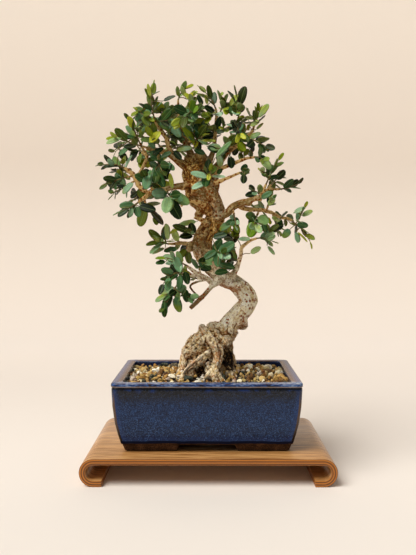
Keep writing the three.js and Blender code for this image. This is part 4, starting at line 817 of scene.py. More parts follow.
@finish
def cobalt_glaze():
    """Cobalt glaze that runs brown at the edges, over a bare clay foot."""
    place = object_place()
    height = split(place)[2] / MM - float(POT_BASE)
    wander = (cloudy(place, 45.0) - 0.5) * 9.0
    level = height + wander
    spread = mottle(place, 420.0, 1150.0, 0.85)[0]
    navy = ramp(spread, (0.38, 6, 18, 40), (0.47, 11, 30, 62), (0.55, 19, 45, 86), (0.62, 44, 80, 130))
    smoky = ramp(spread, (0.38, 8, 8, 8), (0.47, 15, 15, 18), (0.55, 24, 26, 34), (0.62, 44, 50, 66))
    # Darker and greyer towards the top of the wall.
    wall = blend(fade(level, 46.0, 66.0), navy, smoky)
    wall = blend(fade(level, 18.0, 12.0, 0.0, 0.5), wall, (28, 58, 110))
    drips = fade(level, 63.0, 68.0) * fade(cloudy(place, 60.0), 0.45, 0.6)
    wall = blend(drips * 0.7, wall, (24, 52, 110))
    specks = flecks(place, 820.0, 0.44, 0.3)[0] * fade(level, 66.0, 16.0, 0.1, 0.75)
    wall = blend(specks, wall, (76, 112, 168))
    # Lighter blue near the upright corners: the glaze thins there, and it is partly a painted highlight.
    corner = attribute("corner") + wander * 0.015
    wall = blend(fade(corner, 0.0, 0.7) * (spread * 0.8), wall, (34, 64, 120))
    burnt = blend(fade(height, 12.0, 40.0), (6, 6, 8), (88, 66, 50))
    wall = blend(fade(corner, 0.7, 0.82), wall, burnt)
    # The lip: blue on its face, brown where the glaze thins on its edges, lilac grey on top. A painted shadow
    # lies under it, its palest streaks are partly painted highlight, and the lilac grey on top is a painted
    # reflection.
    # A near-black band just under the lip: painted shadow.
    wall = blend(fade(height, 67.4, 68.4, 0.0, 0.92), wall, (6, 5, 6))
    flat = put("ShaderNodeMapping", {"Vector": place, "Scale": (0.35, 0.35, 1.0)})[0]
    streaky = mottle(flat, 120.0, 700.0, 0.5)[0]
    # The glaze's own streaks; the palest are partly painted highlight.
    lip = ramp(streaky, (0.4, 8, 14, 30), (0.48, 20, 44, 88), (0.54, 50, 84, 136), (0.62, 118, 134, 160))
    wall = blend(fade(height, 69.8, 70.1), wall, lip)
    # A cream line along the lip's lower edge: the glaze thins there, and it is partly a painted highlight.
    cream = fade(height, 69.9, 70.2) * fade(height, 71.4, 71.0)
    wall = blend(cream * 0.8, wall, (140, 118, 98))
    # The rim's top: the lilac grey towards its outside is a painted reflection; it turns brown towards the
    # inner edge.
    top = blend(fade(attribute("inward"), 0.35, 0.95), blend(spread, (62, 70, 106), (112, 116, 144)),
                blend(spread, (78, 60, 50), (138, 114, 94)))
    # The front strip of the rim's top is blue, its palest streaks partly painted highlight.
    front = fade(split(place)[1], -0.0560, -0.0585)
    top = blend(front, top, ramp(streaky, (0.4, 14, 26, 48), (0.48, 36, 66, 112), (0.54, 76, 104, 148),
                                 (0.62, 150, 158, 170)))
    rim = attribute("rim")
    wall = blend(fade(rim, 0.4, 0.6), wall, top)
    wall = blend(attribute("thin") * fade(front, 0.0, 1.0, 0.7, 0.25), wall, (112, 80, 56))
    # The inside wall is darker than the outside glaze: painted shade.
    inner = blend(fade(spread, 0.4, 0.6), (10, 12, 22), (28, 44, 84))
    wall = blend(attribute("inside"), wall, inner)
    # The roll at the bottom of the glaze, and the bare foot.
    low = height + wander * 0.35
    roll = fade(low, 12.6, 11.6)
    wall = blend(roll * 0.95, wall, blend(spread, (0, 2, 6), (8, 20, 52)))
    earthy = mottle(place, 120.0, 900.0, 0.6)[0]
    clay = ramp(earthy, (0.38, 34, 20, 10), (0.5, 60, 40, 24), (0.62, 96, 68, 46))
    bare = fade(low, 9.2, 8.6)
    bulge = roll * fade(low, 8.4, 9.6)
    dull = maths("MAXIMUM", rim, maths("MAXIMUM", bare, roll))
    return {
        "Base Color": blend(bare, wall, clay),
        "Roughness": bare * 0.65 + 0.2,
        "Specular IOR Level": fade(dull, 0.0, 1.0, 0.3, 0.08),
        "Normal": bump(spread + bulge * 2.0, 0.35, 0.3),
    }


@finish
def mesh_plastic():
    grain = cloudy(object_place(), 900.0)
    base = blend(grain, (22, 24, 25), (44, 46, 48))
    return {"Base Color": base, "Roughness": 0.6, "Normal": bump(grain, 0.1, 0.4)}


@finish
def gravel_stone():
    """Grains of ochre, cream, tan, rust and a few dark ones: each has its own tone."""
    own = ramp(attribute("tone"), (0.0, 40, 48, 36), (0.05, 66, 74, 58), (0.07, 88, 56, 20),
               (0.2, 160, 110, 42), (0.36, 198, 154, 78), (0.48, 222, 190, 118), (0.6, 160, 110, 44),
               (0.7, 186, 160, 80), (0.8, 242, 226, 178), (0.93, 252, 246, 226), (1.0, 150, 86, 32))
    patches = mottle(object_place(), 180.0, 1000.0, 0.6)[0]
    base = blend(fade(patches, 0.36, 0.52, 0.8, 0.0), own, (120, 84, 44), "MULTIPLY")
    base = blend(fade(patches, 0.52, 0.68, 0.0, 0.4), base, (236, 222, 180))
    return {"Base Color": base, "Roughness": 0.9, "Normal": bump(patches, 0.6, 0.8)}


@finish
def deep_soil():
    grain = cloudy(object_place(), 400.0)
    base = ramp(grain, (0.3, 14, 10, 6), (0.7, 48, 32, 18))
    return {"Base Color": base, "Roughness": 1.0, "Normal": bump(grain, 0.8)}


@finish
def olive_bark():
    """Pale bark with rust spots low down, cracked at the foot, orange-brown, pitted and fibrous above."""
    place = object_place()
    grain = attribute("grain", "Vector")
    rough, limb = attribute("rough"), attribute("limb")
    height = split(place)[2] / MM
    streak, fine = fibre(grain, 420.0, 7.0)
    furrow = fibre(grain, 190.0, 5.0)[0]
    patches = mottle(place, 90.0, 420.0, 0.55)[0]
    mixed = streak * 0.5 + patches * 0.5
    pale = ramp(mixed, (0.38, 188, 156, 98), (0.45, 232, 214, 168), (0.52, 246, 236, 206),
                (0.6, 252, 248, 232))
    brown = ramp(mixed, (0.4, 26, 10, 0), (0.46, 112, 60, 0), (0.51, 198, 132, 30), (0.56, 255, 218, 136))
    branch = ramp(mixed, (0.38, 58, 38, 10), (0.45, 108, 82, 38), (0.52, 144, 118, 68), (0.6, 206, 188, 146))
    upper = fade(height + (cloudy(place, 28.0) - 0.5) * 60.0, 208.0, 250.0)
    # Pale below and brown above; the pale patches up the flanks are bare wood, partly a painted highlight on
    # the lit side.
    base = blend(upper * (1.0 - attribute("pale") * 0.8), pale, brown)
    base = blend(limb * fade(height, 190.0, 225.0), base, branch)
    rust = maths("MULTIPLY", attribute("rust"), fade(mixed, 0.58, 0.42), clamp=True)
    base = blend(rust, base, blend(fine, (112, 54, 14), (190, 112, 44)))
    # Rusty blotches on rough bark, a warm underside, and cracks.
    blotches = fade(mottle(grain, 150.0, 700.0, 0.5)[0], 0.5, 0.55) * fade(rough, 0.3, 0.9, 0.05, 0.85)
    base = blend(blotches, base, blend(fine, (138, 70, 8), (214, 138, 46)))
    facing = split(put("ShaderNodeNewGeometry")["Normal"])[2]
    base = blend(fade(facing, -0.3, -0.9) * 0.6, base, (160, 94, 40))
    cracked = plates(grain, 330.0, 2.2, 0.2)[0] * rough * fade(patches, 0.54, 0.46)
    base = blend(cracked * 0.9, base, (58, 32, 12))
    foot_part = fade(rough, 0.3, 0.7) * (1.0 - upper)
    base = blend(foot_part * 0.6, base, (255, 228, 172), "MULTIPLY")
    # Ridges and lumps are lighter: painted highlight.
    base = blend(attribute("crest") * 0.8, base, blend(upper, (250, 242, 216), (232, 192, 122)))
    # Patches of darker, dull brown.
    base = blend(attribute("weathered") * 0.9, base, blend(fine, (60, 38, 8), (148, 108, 48)))
    # Freckles in clusters on the smooth bend, pits and dark streaks above.
    freckles = maths("MAXIMUM", flecks(grain, 280.0, 0.46, 0.75)[0], flecks(grain, 460.0, 0.4, 0.4)[0])
    clusters = fade(cloudy(place, 55.0), 0.4, 0.5, 0.45, 1.0) * fade(rough, 0.3, 0.8, 1.0, 0.3)
    base = blend(freckles * clusters, base, (136, 66, 8))
    pits = flecks(grain, 420.0, 0.42, 0.3)[0] * (upper * fade(limb, 0.6, 0.1, 0.0, 0.7))
    base = blend(pits, base, (34, 18, 6))
    base = blend(fade(furrow, 0.45, 0.37) * fade(rough, 0.15, 0.8, 0.03, 0.75), base, (54, 32, 12))
    # Crevices and old wounds are dark, darkest low on the foot: painted shade.
    depth = blend(fade(height, 128.0, 142.0), (20, 11, 4), (104, 60, 20))
    base = blend(fade(attribute("crevice"), 0.14, 0.6, 0.0, 0.93), base, depth)
    # The foot's hollows are near black as painted shade, flecked with pale rootlets.
    litter = ramp(mixed, (0.42, 4, 2, 0), (0.5, 26, 15, 5), (0.55, 88, 58, 26), (0.6, 190, 160, 112))
    return {
        "Base Color": blend(attribute("dark"), base, litter),
        "Roughness": 0.85,
        "Specular IOR Level": 0.2,
        "Normal": bump(streak + furrow * 1.2 - (cracked * 0.6 + pits), 1.2, 0.8),
    }


@finish
def olive_leaf():
    """Cool or olive green above, paler below, with a pale midrib. Young leaves are lime."""
    place = object_place()
    along, across, _ = split(put("ShaderNodeUVMap", uv_map="blade")[0])
    tone, youth, under = attribute("tone"), attribute("youth"), attribute("underside")
    # Tone runs from near black to pale: the leaves' own range of greens, stretched by painted shade at the
    # dark end and by painted highlight and sheen at the pale end.
    cool = ramp(tone, (0.0, 4, 18, 2), (0.25, 20, 46, 12), (0.5, 46, 86, 36), (0.68, 100, 148, 98),
                (0.86, 182, 220, 180), (1.0, 112, 150, 30))
    warm = ramp(tone, (0.0, 10, 18, 0), (0.25, 38, 48, 0), (0.5, 76, 90, 6), (0.68, 132, 154, 40),
                (0.86, 190, 208, 112), (1.0, 150, 166, 16))
    own = maths("FRACT", tone * 37.0)
    warmth = cloudy(place, 36.0) + split(place)[1] * 3.0 + own * 0.12
    lime = ramp(tone, (0.0, 136, 158, 6), (0.5, 172, 186, 16), (1.0, 214, 212, 50))
    top = blend(youth, blend(fade(warmth, 0.52, 0.66), cool, warm), lime)
    below = blend(youth, blend(tone, (78, 88, 20), (130, 138, 66)), (156, 166, 56))
    patches = mottle(place, 160.0, 900.0, 0.5)[0]
    base = blend(fade(patches, 0.35, 0.65, 0.25, 0.0), blend(under * 0.8, top, below), (20, 28, 8))
    side = maths("ABSOLUTE", across - 0.5)
    rib = fade(side, 0.035, 0.012)
    base = blend(rib * 0.45, base, (140, 160, 90))
    slant = maths("FRACT", along * 9.0 - side * 5.0)
    vein = fade(maths("ABSOLUTE", slant - 0.5), 0.1, 0.0)
    return {
        "Base Color": blend(vein * 0.12, base, (150, 166, 110)),
        "Roughness": under * 0.32 + 0.38,
        "Specular IOR Level": 0.22,
        "Normal": bump(patches - rib * 1.4, 0.25, 0.5),
        "Subsurface Weight": 0.12,
        "Subsurface Scale": 0.0008,
    }


@finish
def green_stem():
    grain = cloudy(object_place(), 300.0)
    base = ramp(grain, (0.3, 84, 62, 28), (0.55, 118, 98, 48), (0.75, 136, 132, 66))
    return {"Base Color": base, "Roughness": 0.6, "Normal": bump(grain, 0.2, 0.5)}


@finish
def pale_paper():
    """A plain backdrop, a little lighter where it rises and glowing a little there, and a little darker
    towards the back of the floor: painted light that evens out how the lamps fall on it.
    """
    place = object_place()
    rise = split(place)[2] / 1.2
    near_floor = (0.8, 0.735, 0.665, 1.0)
    far_floor = (0.7, 0.635, 0.57, 1.0)
    floor = blend(fade(split(place)[1], -0.1, 0.5), near_floor, far_floor)
    wall = ramp(rise, (0.0, 0.69, 0.622, 0.555, 1.0), (0.1, 0.74, 0.655, 0.57, 1.0),
                (0.42, 0.89, 0.775, 0.66, 1.0), (1.0, 0.96, 0.845, 0.725, 1.0))
    base = blend(fade(rise, 0.0, 0.03), floor, wall)
    return {
        "Base Color": blend(cloudy(place, 3.0) * 0.04, base, (0.7, 0.6, 0.5, 1.0)),
        "Roughness": 0.9,
        "Specular IOR Level": 0.0,
        "Emission Color": (1.0, 0.86, 0.71, 1.0),
        "Emission Strength": fade(rise, 0.05, 1.0, 0.0, 0.2),
    }


# ---- Rules for what repeats ----
def grown(name, base, rule, **values):
    """A plain mesh that a rule makes from a base mesh and named values."""
    holder = new_piece(name, base)
    modifier = modify(holder, "NODES", node_group=rule)
    for item in rule.interface.items_tree:
        if item.in_out == "INPUT" and item.name.lower() in values:
            modifier[item.identifier] = values[item.name.lower()]
    return new_piece(name, applied(holder))


def field(name, kind="FLOAT"):
    return put("GeometryNodeInputNamedAttribute", {"Name": name}, data_type=kind)[0]


def at_random(kind, low, high, seed):
    """A value for each point. The node has two inputs and an output for each kind."""
    n = ("FLOAT_VECTOR", "FLOAT", "INT").index(kind)
    inputs = {2 * n: low, 2 * n + 1: high, "Seed": seed}
    return put("FunctionNodeRandomValue", inputs, data_type=kind)[n]


def shapes_on(points, shapes, index, turn, size):
    """One of a collection's shapes at each point."""
    info = {"Collection": shapes, "Separate Children": True, "Reset Children": True}
    return put("GeometryNodeInstanceOnPoints", {
        "Points": points, "Instance": put("GeometryNodeCollectionInfo", info)[0], "Pick Instance": True,
        "Instance Index": index, "Rotation": turn, "Scale": size,
    })[0]


def moved_points(shape, offset):
    return put("GeometryNodeSetPosition", {"Geometry": shape, "Offset": offset})[0]


def shaded_smooth(shape):
    return put("GeometryNodeSetShadeSmooth", {0: shape})[0]


def realized(shape):
    return put("GeometryNodeRealizeInstances", {0: shape})[0]


def finished(shape, material):
    """The end of every rule: plain geometry with its material."""
    return put("GeometryNodeSetMaterial", {0: realized(shape), "Material": material})[0]


@geometry_rule
def stem_rule(lines: GEOMETRY, finish: MATERIAL, sides: INT = 8):
    """Round stems along lines: each point of a line carries its radius."""
    tubes = put("GeometryNodeCurveToMesh", {
        "Curve": put("GeometryNodeMeshToCurve", {0: lines})[0],
        "Profile Curve": put("GeometryNodeCurvePrimitiveCircle", {"Resolution": sides, "Radius": 1.0})[0],
        "Scale": field("thick"), "Fill Caps": True,
    })[0]
    return {"Stems": finished(shaded_smooth(tubes), finish)}


@geometry_rule
def leaf_rule(points: GEOMETRY, shapes: COLLECTION, finish: MATERIAL, droop: FLOAT = 1.0):
    """A leaf of one of several shapes at each point, turned, sized and bent as the point says."""
    turn, size = field("turn", "QUATERNION"), field("size", "FLOAT_VECTOR")
    whole = realized(shapes_on(points, shapes, field("shape", "INT"), turn, size))
    reach = field("reach")
    fall = reach * reach * field("droop") * (droop * -1.0)
    drop = scaled(field("up", "FLOAT_VECTOR"), fall)
    return {"Leaves": finished(shaded_smooth(moved_points(whole, drop)), finish)}


@geometry_rule
def gravel_rule(
    bed: GEOMETRY, stones: COLLECTION, finish: MATERIAL, spacing: FLOAT = 0.004, least: FLOAT = 1.0,
    most: FLOAT = 2.0, sink: FLOAT = 0.0, seed: INT = 0,
):
    """Stones of several shapes, scattered evenly over a bed, each with its own turn, size and tone."""
    free = put("FunctionNodeCompare", {0: field("free"), 1: 0.5}, operation="GREATER_THAN")[0]
    points = put("GeometryNodeDistributePointsOnFaces", {
        "Mesh": bed, "Selection": free, "Distance Min": spacing, "Density Max": 200000.0, "Seed": seed,
    }, distribute_method="POISSON")[0]
    turn = at_random("FLOAT_VECTOR", (0, 0, 0), (6.3, 6.3, 6.3), seed)
    turn = put("FunctionNodeEulerToRotation", {0: turn})[0]
    mostly_small = maths("POWER", at_random("FLOAT", 0.0, 1.0, 7), 2.2)
    size = put("ShaderNodeMapRange", {0: mostly_small, 3: least, 4: most})[0]
    lowered = moved_points(points, combined(0.0, 0.0, sink * -1.0))
    placed = shapes_on(lowered, stones, at_random("INT", 0, 63, 3), turn, size)
    toned = put("GeometryNodeStoreNamedAttribute", {
        "Geometry": placed, "Name": "tone", "Value": at_random("FLOAT", 0.0, 1.0, 5),
    }, data_type="FLOAT", domain="INSTANCE")[0]
    return {"Gravel": finished(toned, finish)}


def stems_along(name, lines, sides, finish):
    """Round stems through lines of [x, y, z, radius]."""
    rows, edges = [], []
    for line in lines:
        edges += [(len(rows) + i, len(rows) + i + 1) for i in range(len(line) - 1)]
        rows.extend(line)
    rows = np.array(rows, float)
    mesh = new_mesh(name, rows[:, :3], edges=edges)
    paint(mesh, "thick", rows[:, 3] * MM)
    return grown(name, mesh, stem_rule, sides=sides, finish=finish)


# ---- Stand ----
def board_stations():
    """Places along the board's outer face, from one lip to the other: x, z, and the way out of the face."""
    outer = STAND_HIGH[2] / 2
    roll_x = STAND_HIGH[0] - outer
    right = [(LIP + (roll_x - LIP) * k / 4, 0.0, 0.0, -1.0) for k in range(4)]
    for angle in np.linspace(-math.pi / 2, math.pi / 2, 29):
        out_x, out_z = math.cos(angle), math.sin(angle)
        right.append((roll_x + outer * out_x, outer + outer * out_z, out_x, out_z))
    top = [(x, STAND_HIGH[2], 0.0, 1.0) for x in np.linspace(roll_x, -roll_x, 41)[1:-1]]
    left = [(-x, z, -out_x, out_z) for x, z, out_x, out_z in reversed(right)]
    return np.array(right + top + left)


def make_stand():
    """One bent board, which carries where its edges are and how far through its plies each corner is."""
    stations = board_stations()
    count = len(stations)
    lengths = np.cumsum([0, *np.hypot(*np.diff(stations[:, :2], axis=0).T)])
    sides = (STAND_LOW[1], STAND_HIGH[1])
    points = [
        (x - out_x * depth, y, z - out_z * depth)
        for y in sides for depth in (0, PLY) for x, z, out_x, out_z in stations
    ]
    faces, uvs, through, edge = [], [], [], []

    def add(is_edge, *corners):
        faces.append([(side * 2 + layer) * count + i for side, layer, i in corners])
        for side, layer, i in corners:
            uvs.append((lengths[i] * MM, (layer * PLY if is_edge else sides[side]) * MM))
            through.append(layer)
        edge.append(is_edge)

    for i, j in zip(range(count), range(1, count)):
        add(False, (0, 0, i), (1, 0, i), (1, 0, j), (0, 0, j))
        add(False, (0, 1, i), (0, 1, j), (1, 1, j), (1, 1, i))
        add(True, (0, 0, i), (0, 0, j), (0, 1, j), (0, 1, i))
        add(True, (1, 0, i), (1, 1, i), (1, 1, j), (1, 0, j))
    last = count - 1
    add(True, (0, 0, 0), (0, 1, 0), (1, 1, 0), (1, 0, 0))
    add(True, (0, 0, last), (1, 0, last), (1, 1, last), (0, 1, last))
    mesh = new_mesh("stand", points, faces)
    paint_uv(mesh, "grain", uvs)
    paint(mesh, "through", through, domain="CORNER")
    paint(mesh, "edge", edge, domain="FACE")
    board = new_piece("bent_board", mesh)
    modify(board, "BEVEL", width=0.5 * MM, segments=2, limit_method="ANGLE", angle_limit=math.radians(50))
    board = new_piece("bent_board", applied(board), 35, veneer)
    ride_and_replace(board, "bent_ply", "stand")


# ---- Pot ----
def pot_ring(inset, height, corner):
    """A rounded rectangle round the pot's middle, with most of its points near the corners."""
    half = POT_HALF - inset - corner
    arcs = []
    for quarter, signs in enumerate([(1, 1), (-1, 1), (-1, -1), (1, -1)]):
        turns = np.linspace(quarter, quarter + 1, 7) * math.pi / 2
        arcs.append(POT_MIDDLE + half * signs + corner * np.column_stack([np.cos(turns), np.sin(turns)]))
    ring = []
    for arc, following in zip(arcs, arcs[1:] + arcs[:1]):
        straight = following[0] - arc[-1]
        span = np.linalg.norm(straight)
        ends = [2.5, 5, 9]
        places = [*ends, *np.linspace(16, span - 16, 9), *(span - end for end in reversed(ends))]
        ring += [*arc, *(arc[-1] + straight * place / span for place in places)]
    return [(x, y, POT_BASE + height) for x, y in ring]


def make_pot():
    rings = [pot_ring(inset, height, FOOT_CORNER) for inset, height in reversed(FOOT_RECESS)]
    for inset, height in POT_OUTSIDE:
        rings.append(pot_ring(inset, height, CORNER if height < LIP_HEIGHT else LIP_CORNER - inset))
    for inset, height in POT_INSIDE:
        rings.append(pot_ring(inset, height, LIP_CORNER if height > 70 else INSIDE_CORNER))
    shell = fixed_out(new_mesh("pot", *loft(rings)))
    right = [(ARCH_HALF, -1), (ARCH_HALF - 1.2, 1.2), (ARCH_TOP_HALF + 2.2, FOOT_HEIGHT - 0.9),
             (ARCH_TOP_HALF + 0.4, FOOT_HEIGHT)]
    outline = right + [(-x, z) for x, z in reversed(right)]
    arch = [[(POT_X + x, y, POT_BASE + z) for x, z in outline] for y in (POT_LOW[1] - 1, POT_HIGH[1] + 1)]
    tools = [fixed_out(new_mesh("arch", *loft(arch)))]
    for side in (-1, 1):
        drain = [
            [(POT_X + side * DRAIN_SPREAD + DRAIN_RADIUS * math.cos(angle),
              POT_Y + DRAIN_RADIUS * math.sin(angle), POT_BASE + z) for angle in angles(32)]
            for z in (1, 2 * POT_FLOOR)
        ]
        tools.append(fixed_out(new_mesh("drain", *loft(drain))))
    mesh = cut_by(shell, *tools)
    points = corners_of(mesh)
    height = points[:, 2] - POT_BASE
    insets, heights = np.array(POT_OUTSIDE).T
    inset = np.interp(height, heights, insets)
    from_sides = POT_HALF - np.abs(points[:, :2] - POT_MIDDLE)
    from_edge = from_sides.min(axis=1)
    from_corner = from_sides.max(axis=1) - inset
    paint(mesh, "corner", np.where(from_edge - inset < 1.2, np.clip(1.15 - from_corner / 8, 0, 1), 0))
    paint(mesh, "rim", (height > 73.8) & (from_edge > 0.7) & (from_edge < RIM - 0.1))
    paint(mesh, "inward", np.clip(from_edge / RIM, 0, 1))
    thin = np.exp(-((from_edge - 0.6) / 0.7) ** 2) + np.exp(-((from_edge - RIM + 0.3) / 0.8) ** 2)
    paint(mesh, "thin", np.where(height > 73.2, np.clip(thin, 0, 1), 0))
    paint(mesh, "inside", (from_edge > RIM - 0.05) & (height > POT_FLOOR - 0.1) & (height < 73))
    mesh.materials.clear()
    ride_and_replace(new_piece("glazed_pot", mesh, 32, cobalt_glaze), "pot_glaze", "pot")


# ---- Drain meshes ----
def make_drain_meshes():
    """Welded plastic lattices: round bars both ways, joined where they cross."""
    radius, shift = 0.36, 0.1
    for side in ("left", "right"):
        low, high = box_of("drain_mesh_" + side)
        x, y, z = (low + high) / 2
        half_x, half_y, _ = (high - low) / 2 - 0.1
        lines = []
        for offset in np.linspace(0.3 - half_x, half_x - 0.3, 7):
            lines.append([(x + offset, y + end, z - shift, radius) for end in (-half_y, half_y)])
            lines.append([(x + end, y + offset, z + shift, radius) for end in (-half_x, half_x)])
        lattice = stems_along("drain_lattice_" + side, lines, 8, mesh_plastic)
        ride_and_replace(lattice, "mesh_plastic", "drain_mesh_" + side)


# ---- Gravel ----
def soil_height(x, y):
    """The top of the soil: a mound at the trunk, and a low swell beside it."""
    back = y - POT_Y
    mound = np.exp(-((x / MOUND_X) ** 2) - (back / MOUND_Y) ** 2)
    swell = np.exp(-(((x - 48) / 28) ** 2) - ((back - 8) / 36) ** 2)
    return SOIL_EDGE + MOUND * mound + 3.6 * swell


def stone_shapes():
    """Rounded, broken grains about 1 mm in radius, each the hull of a few scattered points."""
    draw = seeded(SEEDS["stones"])
    holder = bpy.data.collections.new("stones")
    for k in range(10):
        work = bmesh.new()
        stretch = (1 + 0.35 * draw(), 0.8 + 0.3 * draw(), 0.62 + 0.25 * draw())
        for _ in range(22):
            v = Vector((draw() - 0.5, draw() - 0.5, draw() - 0.5)).normalized() * (0.9 + 0.2 * draw())
            work.verts.new([MM * s * c for s, c in zip(stretch, v)])
        bmesh.ops.convex_hull(work, input=work.verts)
        bmesh.ops.delete(work, geom=[v for v in work.verts if not v.link_faces], context="VERTS")
        bmesh.ops.recalc_face_normals(work, faces=work.faces)
        mesh = bpy.data.meshes.new(f"stone_{k}")
        work.to_mesh(mesh)
        work.free()
        smoothed(mesh, 38)
        holder.objects.link(bpy.data.objects.new(f"stone_{k}", mesh))
    return holder


def wood_distance(x, y):
    """How far a place on the soil is from the foot of the tree and its roots."""
    _, middle, wide, deep = FOOT_RINGS[0]
    right, back = x - middle, y - POT_Y
    angle = np.arctan2(back / deep, right / wide)
    away = np.hypot(right, back) - 0.94 * np.hypot(wide * np.cos(angle), deep * np.sin(angle))
    for root in ROOTS:
        for start, end in zip(root, root[1:]):
            for root_x, root_y, root_z, radius in np.linspace(start, end, 5) - [0, 0, 0, 1.5]:
                if root_z + radius >= 96:
                    away = np.minimum(away, np.hypot(x - root_x, y - root_y) - radius)
    return away


def make_gravel():
    """Two layers of small stones and some larger ones, on a closed bed of soil."""
    xs = np.linspace(POT_LOW[0] + BED_INSET, POT_HIGH[0] - BED_INSET, 91)
    ys = np.linspace(POT_LOW[1] + BED_INSET, POT_HIGH[1] - BED_INSET, 67)
    grid = np.array([(x, y, soil_height(x, y) - BED_DEPTH) for y in ys for x in xs])
    numbers = np.arange(len(grid)).reshape(len(ys), len(xs))
    quads = [numbers[:-1, :-1], numbers[:-1, 1:], numbers[1:, 1:], numbers[1:, :-1]]
    faces = np.stack(quads, axis=-1).reshape(-1, 4).tolist()
    bed = new_mesh("bed", grid, faces)
    paint(bed, "free", wood_distance(grid[:, 0], grid[:, 1]) > 0)
    stones = stone_shapes()
    pieces = [
        grown("gravel_" + name, bed.copy(), gravel_rule, stones=stones, finish=gravel_stone,
              spacing=spacing * MM, least=least, most=most, sink=sink * MM, seed=seed)
        for name, spacing, least, most, sink, seed in GRAVEL_LAYERS
    ]
    pieces += large_stones(stones)
    pieces.append(soil_fill(grid, faces, numbers))
    ride_and_replace(joined("gravel", pieces), "gravel", "soil")


def large_stones(shapes):
    """The few stones that stand out: each is one of the shapes, larger, half sunk in the rest."""
    made = []
    for k, (x, y, size, tone) in enumerate(LARGE_STONES):
        mesh = shapes.objects[k % len(shapes.objects)].data.copy()
        place = Vector((x, y, soil_height(x, y) + 0.25 * size)) * MM
        mesh.transform(Matrix.Translation(place) @ Matrix.Rotation(1.7 * k, 4, "Z") @ Matrix.Scale(size, 4))
        paint(mesh, "tone", [tone] * len(mesh.vertices))
        made.append(new_piece(f"large_stone_{k}", mesh, finish=gravel_stone))
    return made


def soil_fill(grid, faces, numbers):
    """The soil under the stones, down to the pot's floor."""
    sides = [numbers[0], numbers[1:, -1], numbers[-1, -2::-1], numbers[-2:0:-1, 0]]
    border = np.concatenate(sides).tolist()
    narrowing = (POT_HALF - FLOOR_INSET) / (POT_HALF - BED_INSET)
    floor = [(*(POT_MIDDLE + (grid[i, :2] - POT_MIDDLE) * narrowing), SOIL_BASE) for i in border]
    start, count = len(grid), len(border)
    faces = faces + [tuple(start + k for k in reversed(range(count)))]
    for k in range(count):
        following = (k + 1) % count
        faces.append((border[k], start + k, start + following, border[following]))
    return new_piece("fill", fixed_out(new_mesh("fill", [*grid, *floor], faces)), finish=deep_soil)


# ---- Wood ----
def smooth_route(points, step=2.0):
    """Places on a smooth line through the points, with their radii, about a step apart."""
    rows = np.array(points, float)
    ends = np.vstack([2 * rows[0] - rows[1], rows, 2 * rows[-1] - rows[-2]])
    made = []
    for a, b, c, d in zip(ends, ends[1:], ends[2:], ends[3:]):
        pieces = max(1, int(round(np.linalg.norm((c - b)[:3]) / step)))
        for k in range(pieces):
            t = k / pieces
            made.append(0.5 * (2 * b + (c - a) * t + (2 * a - 5 * b + 4 * c - d) * t * t
                               + (3 * b - a - 3 * c + d) * t ** 3))
    made = np.array([*made, rows[-1]])
    made[:, 3] = np.maximum(made[:, 3], 0.35)
    return made


def route_frames(line):
    """For each place on a line: its heading, and two directions across it that turn as little as they can."""
    headings = np.gradient(line[:, :3], axis=0)
    headings /= np.linalg.norm(headings, axis=1)[:, None]
    first = headings[0]
    across = np.cross([0, 0, 1] if abs(first[1]) > 0.8 else [0, 1, 0], first)
    frames = []
    for heading in headings:
        across = unit(across - heading * across.dot(heading))
        frames.append((heading, across, np.cross(heading, across)))
    return frames


def tube(points, sides, flat=1.0, flutes=(0, 0, 0)):
    """A closed limb. Flutes are a count, a depth as a share of the radius, and a drift per point."""
    line = smooth_route(points)
    count, depth, drift = flutes
    rings = []
    for i, (place, (_, across, deep)) in enumerate(zip(line, route_frames(line))):
        ring = []
        for angle in angles(sides):
            radius = place[3] * (1 + depth * math.sin(count * angle + drift * i))
            ring.append(place[:3] + radius * (across * math.cos(angle) + deep * flat * math.sin(angle)))
        rings.append(ring)
    return loft(rings)


def ball(x, y, z, radius):
    rings = []
    for polar in np.linspace(0, math.pi, 9)[1:-1]:
        wide = radius * math.sin(polar)
        height = z - radius * math.cos(polar)
        rings.append([(x + wide * math.cos(turn), y + wide * math.sin(turn), height) for turn in angles(14)])
    return loft(rings)


def foot():
    """The flared foot of the trunk, fluted, with its caves pressed in."""
    rows = np.array(FOOT_RINGS, float)
    rings = []
    for z in np.linspace(rows[0, 0], rows[-1, 0], 44):
        x, wide, deep = (np.interp(z, rows[:, 0], column) for column in rows.T[1:])
        ring = []
        for angle in angles(72):
            swell = 1 + 0.05 * math.sin(5 * angle + 0.07 * (z - 86)) + 0.025 * math.sin(11 * angle - 0.05 * z)
            place = np.array([x + (wide - 1.5) * swell * math.cos(angle),
                              POT_Y + (deep - 1.5) * swell * math.sin(angle), z])
            for middle, half in CAVES:
                local = (place - middle) / half
                if np.linalg.norm(local) < 1:
                    place[1] = middle[1] + half[1] * math.sqrt(max(0, 1 - local[0] ** 2 - local[2] ** 2))
            ring.append(place)
        rings.append(ring)
    return loft(rings)


def is_end(route, start):
    return tuple(route[-1][:3]) == tuple(start)


def twig_routes():
    """The branches, run on into the woody spurs up to where the green shoots begin."""
    starts = [spray[0][:2] for spray in SPRAYS.values()]
    routes = []
    for route in LIMBS:
        following = [cut for start, cut in starts if is_end(route, start)]
        routes.append(route + [(*cut, CUT_RADIUS) for cut in following[:1]])
    for start, cut in starts:
        if not any(is_end(route, start) for route in LIMBS):
            routes.append([(*start, 1.0), (*cut, CUT_RADIUS)])
    return routes


def stout_part(route):
    """The start of a branch that is shaped with the trunk, if it has one."""
    count = sum(radius >= STOUT for *_, radius in route)
    return route[:count + 1] if route[0][3] >= STOUT else []


def thin_part(route):
    return route[max(0, len(stout_part(route)) - 2):]


def ridge(x, y, z):
    return 1 - 2.6 * abs(noise.noise(Vector((x, y, z))))


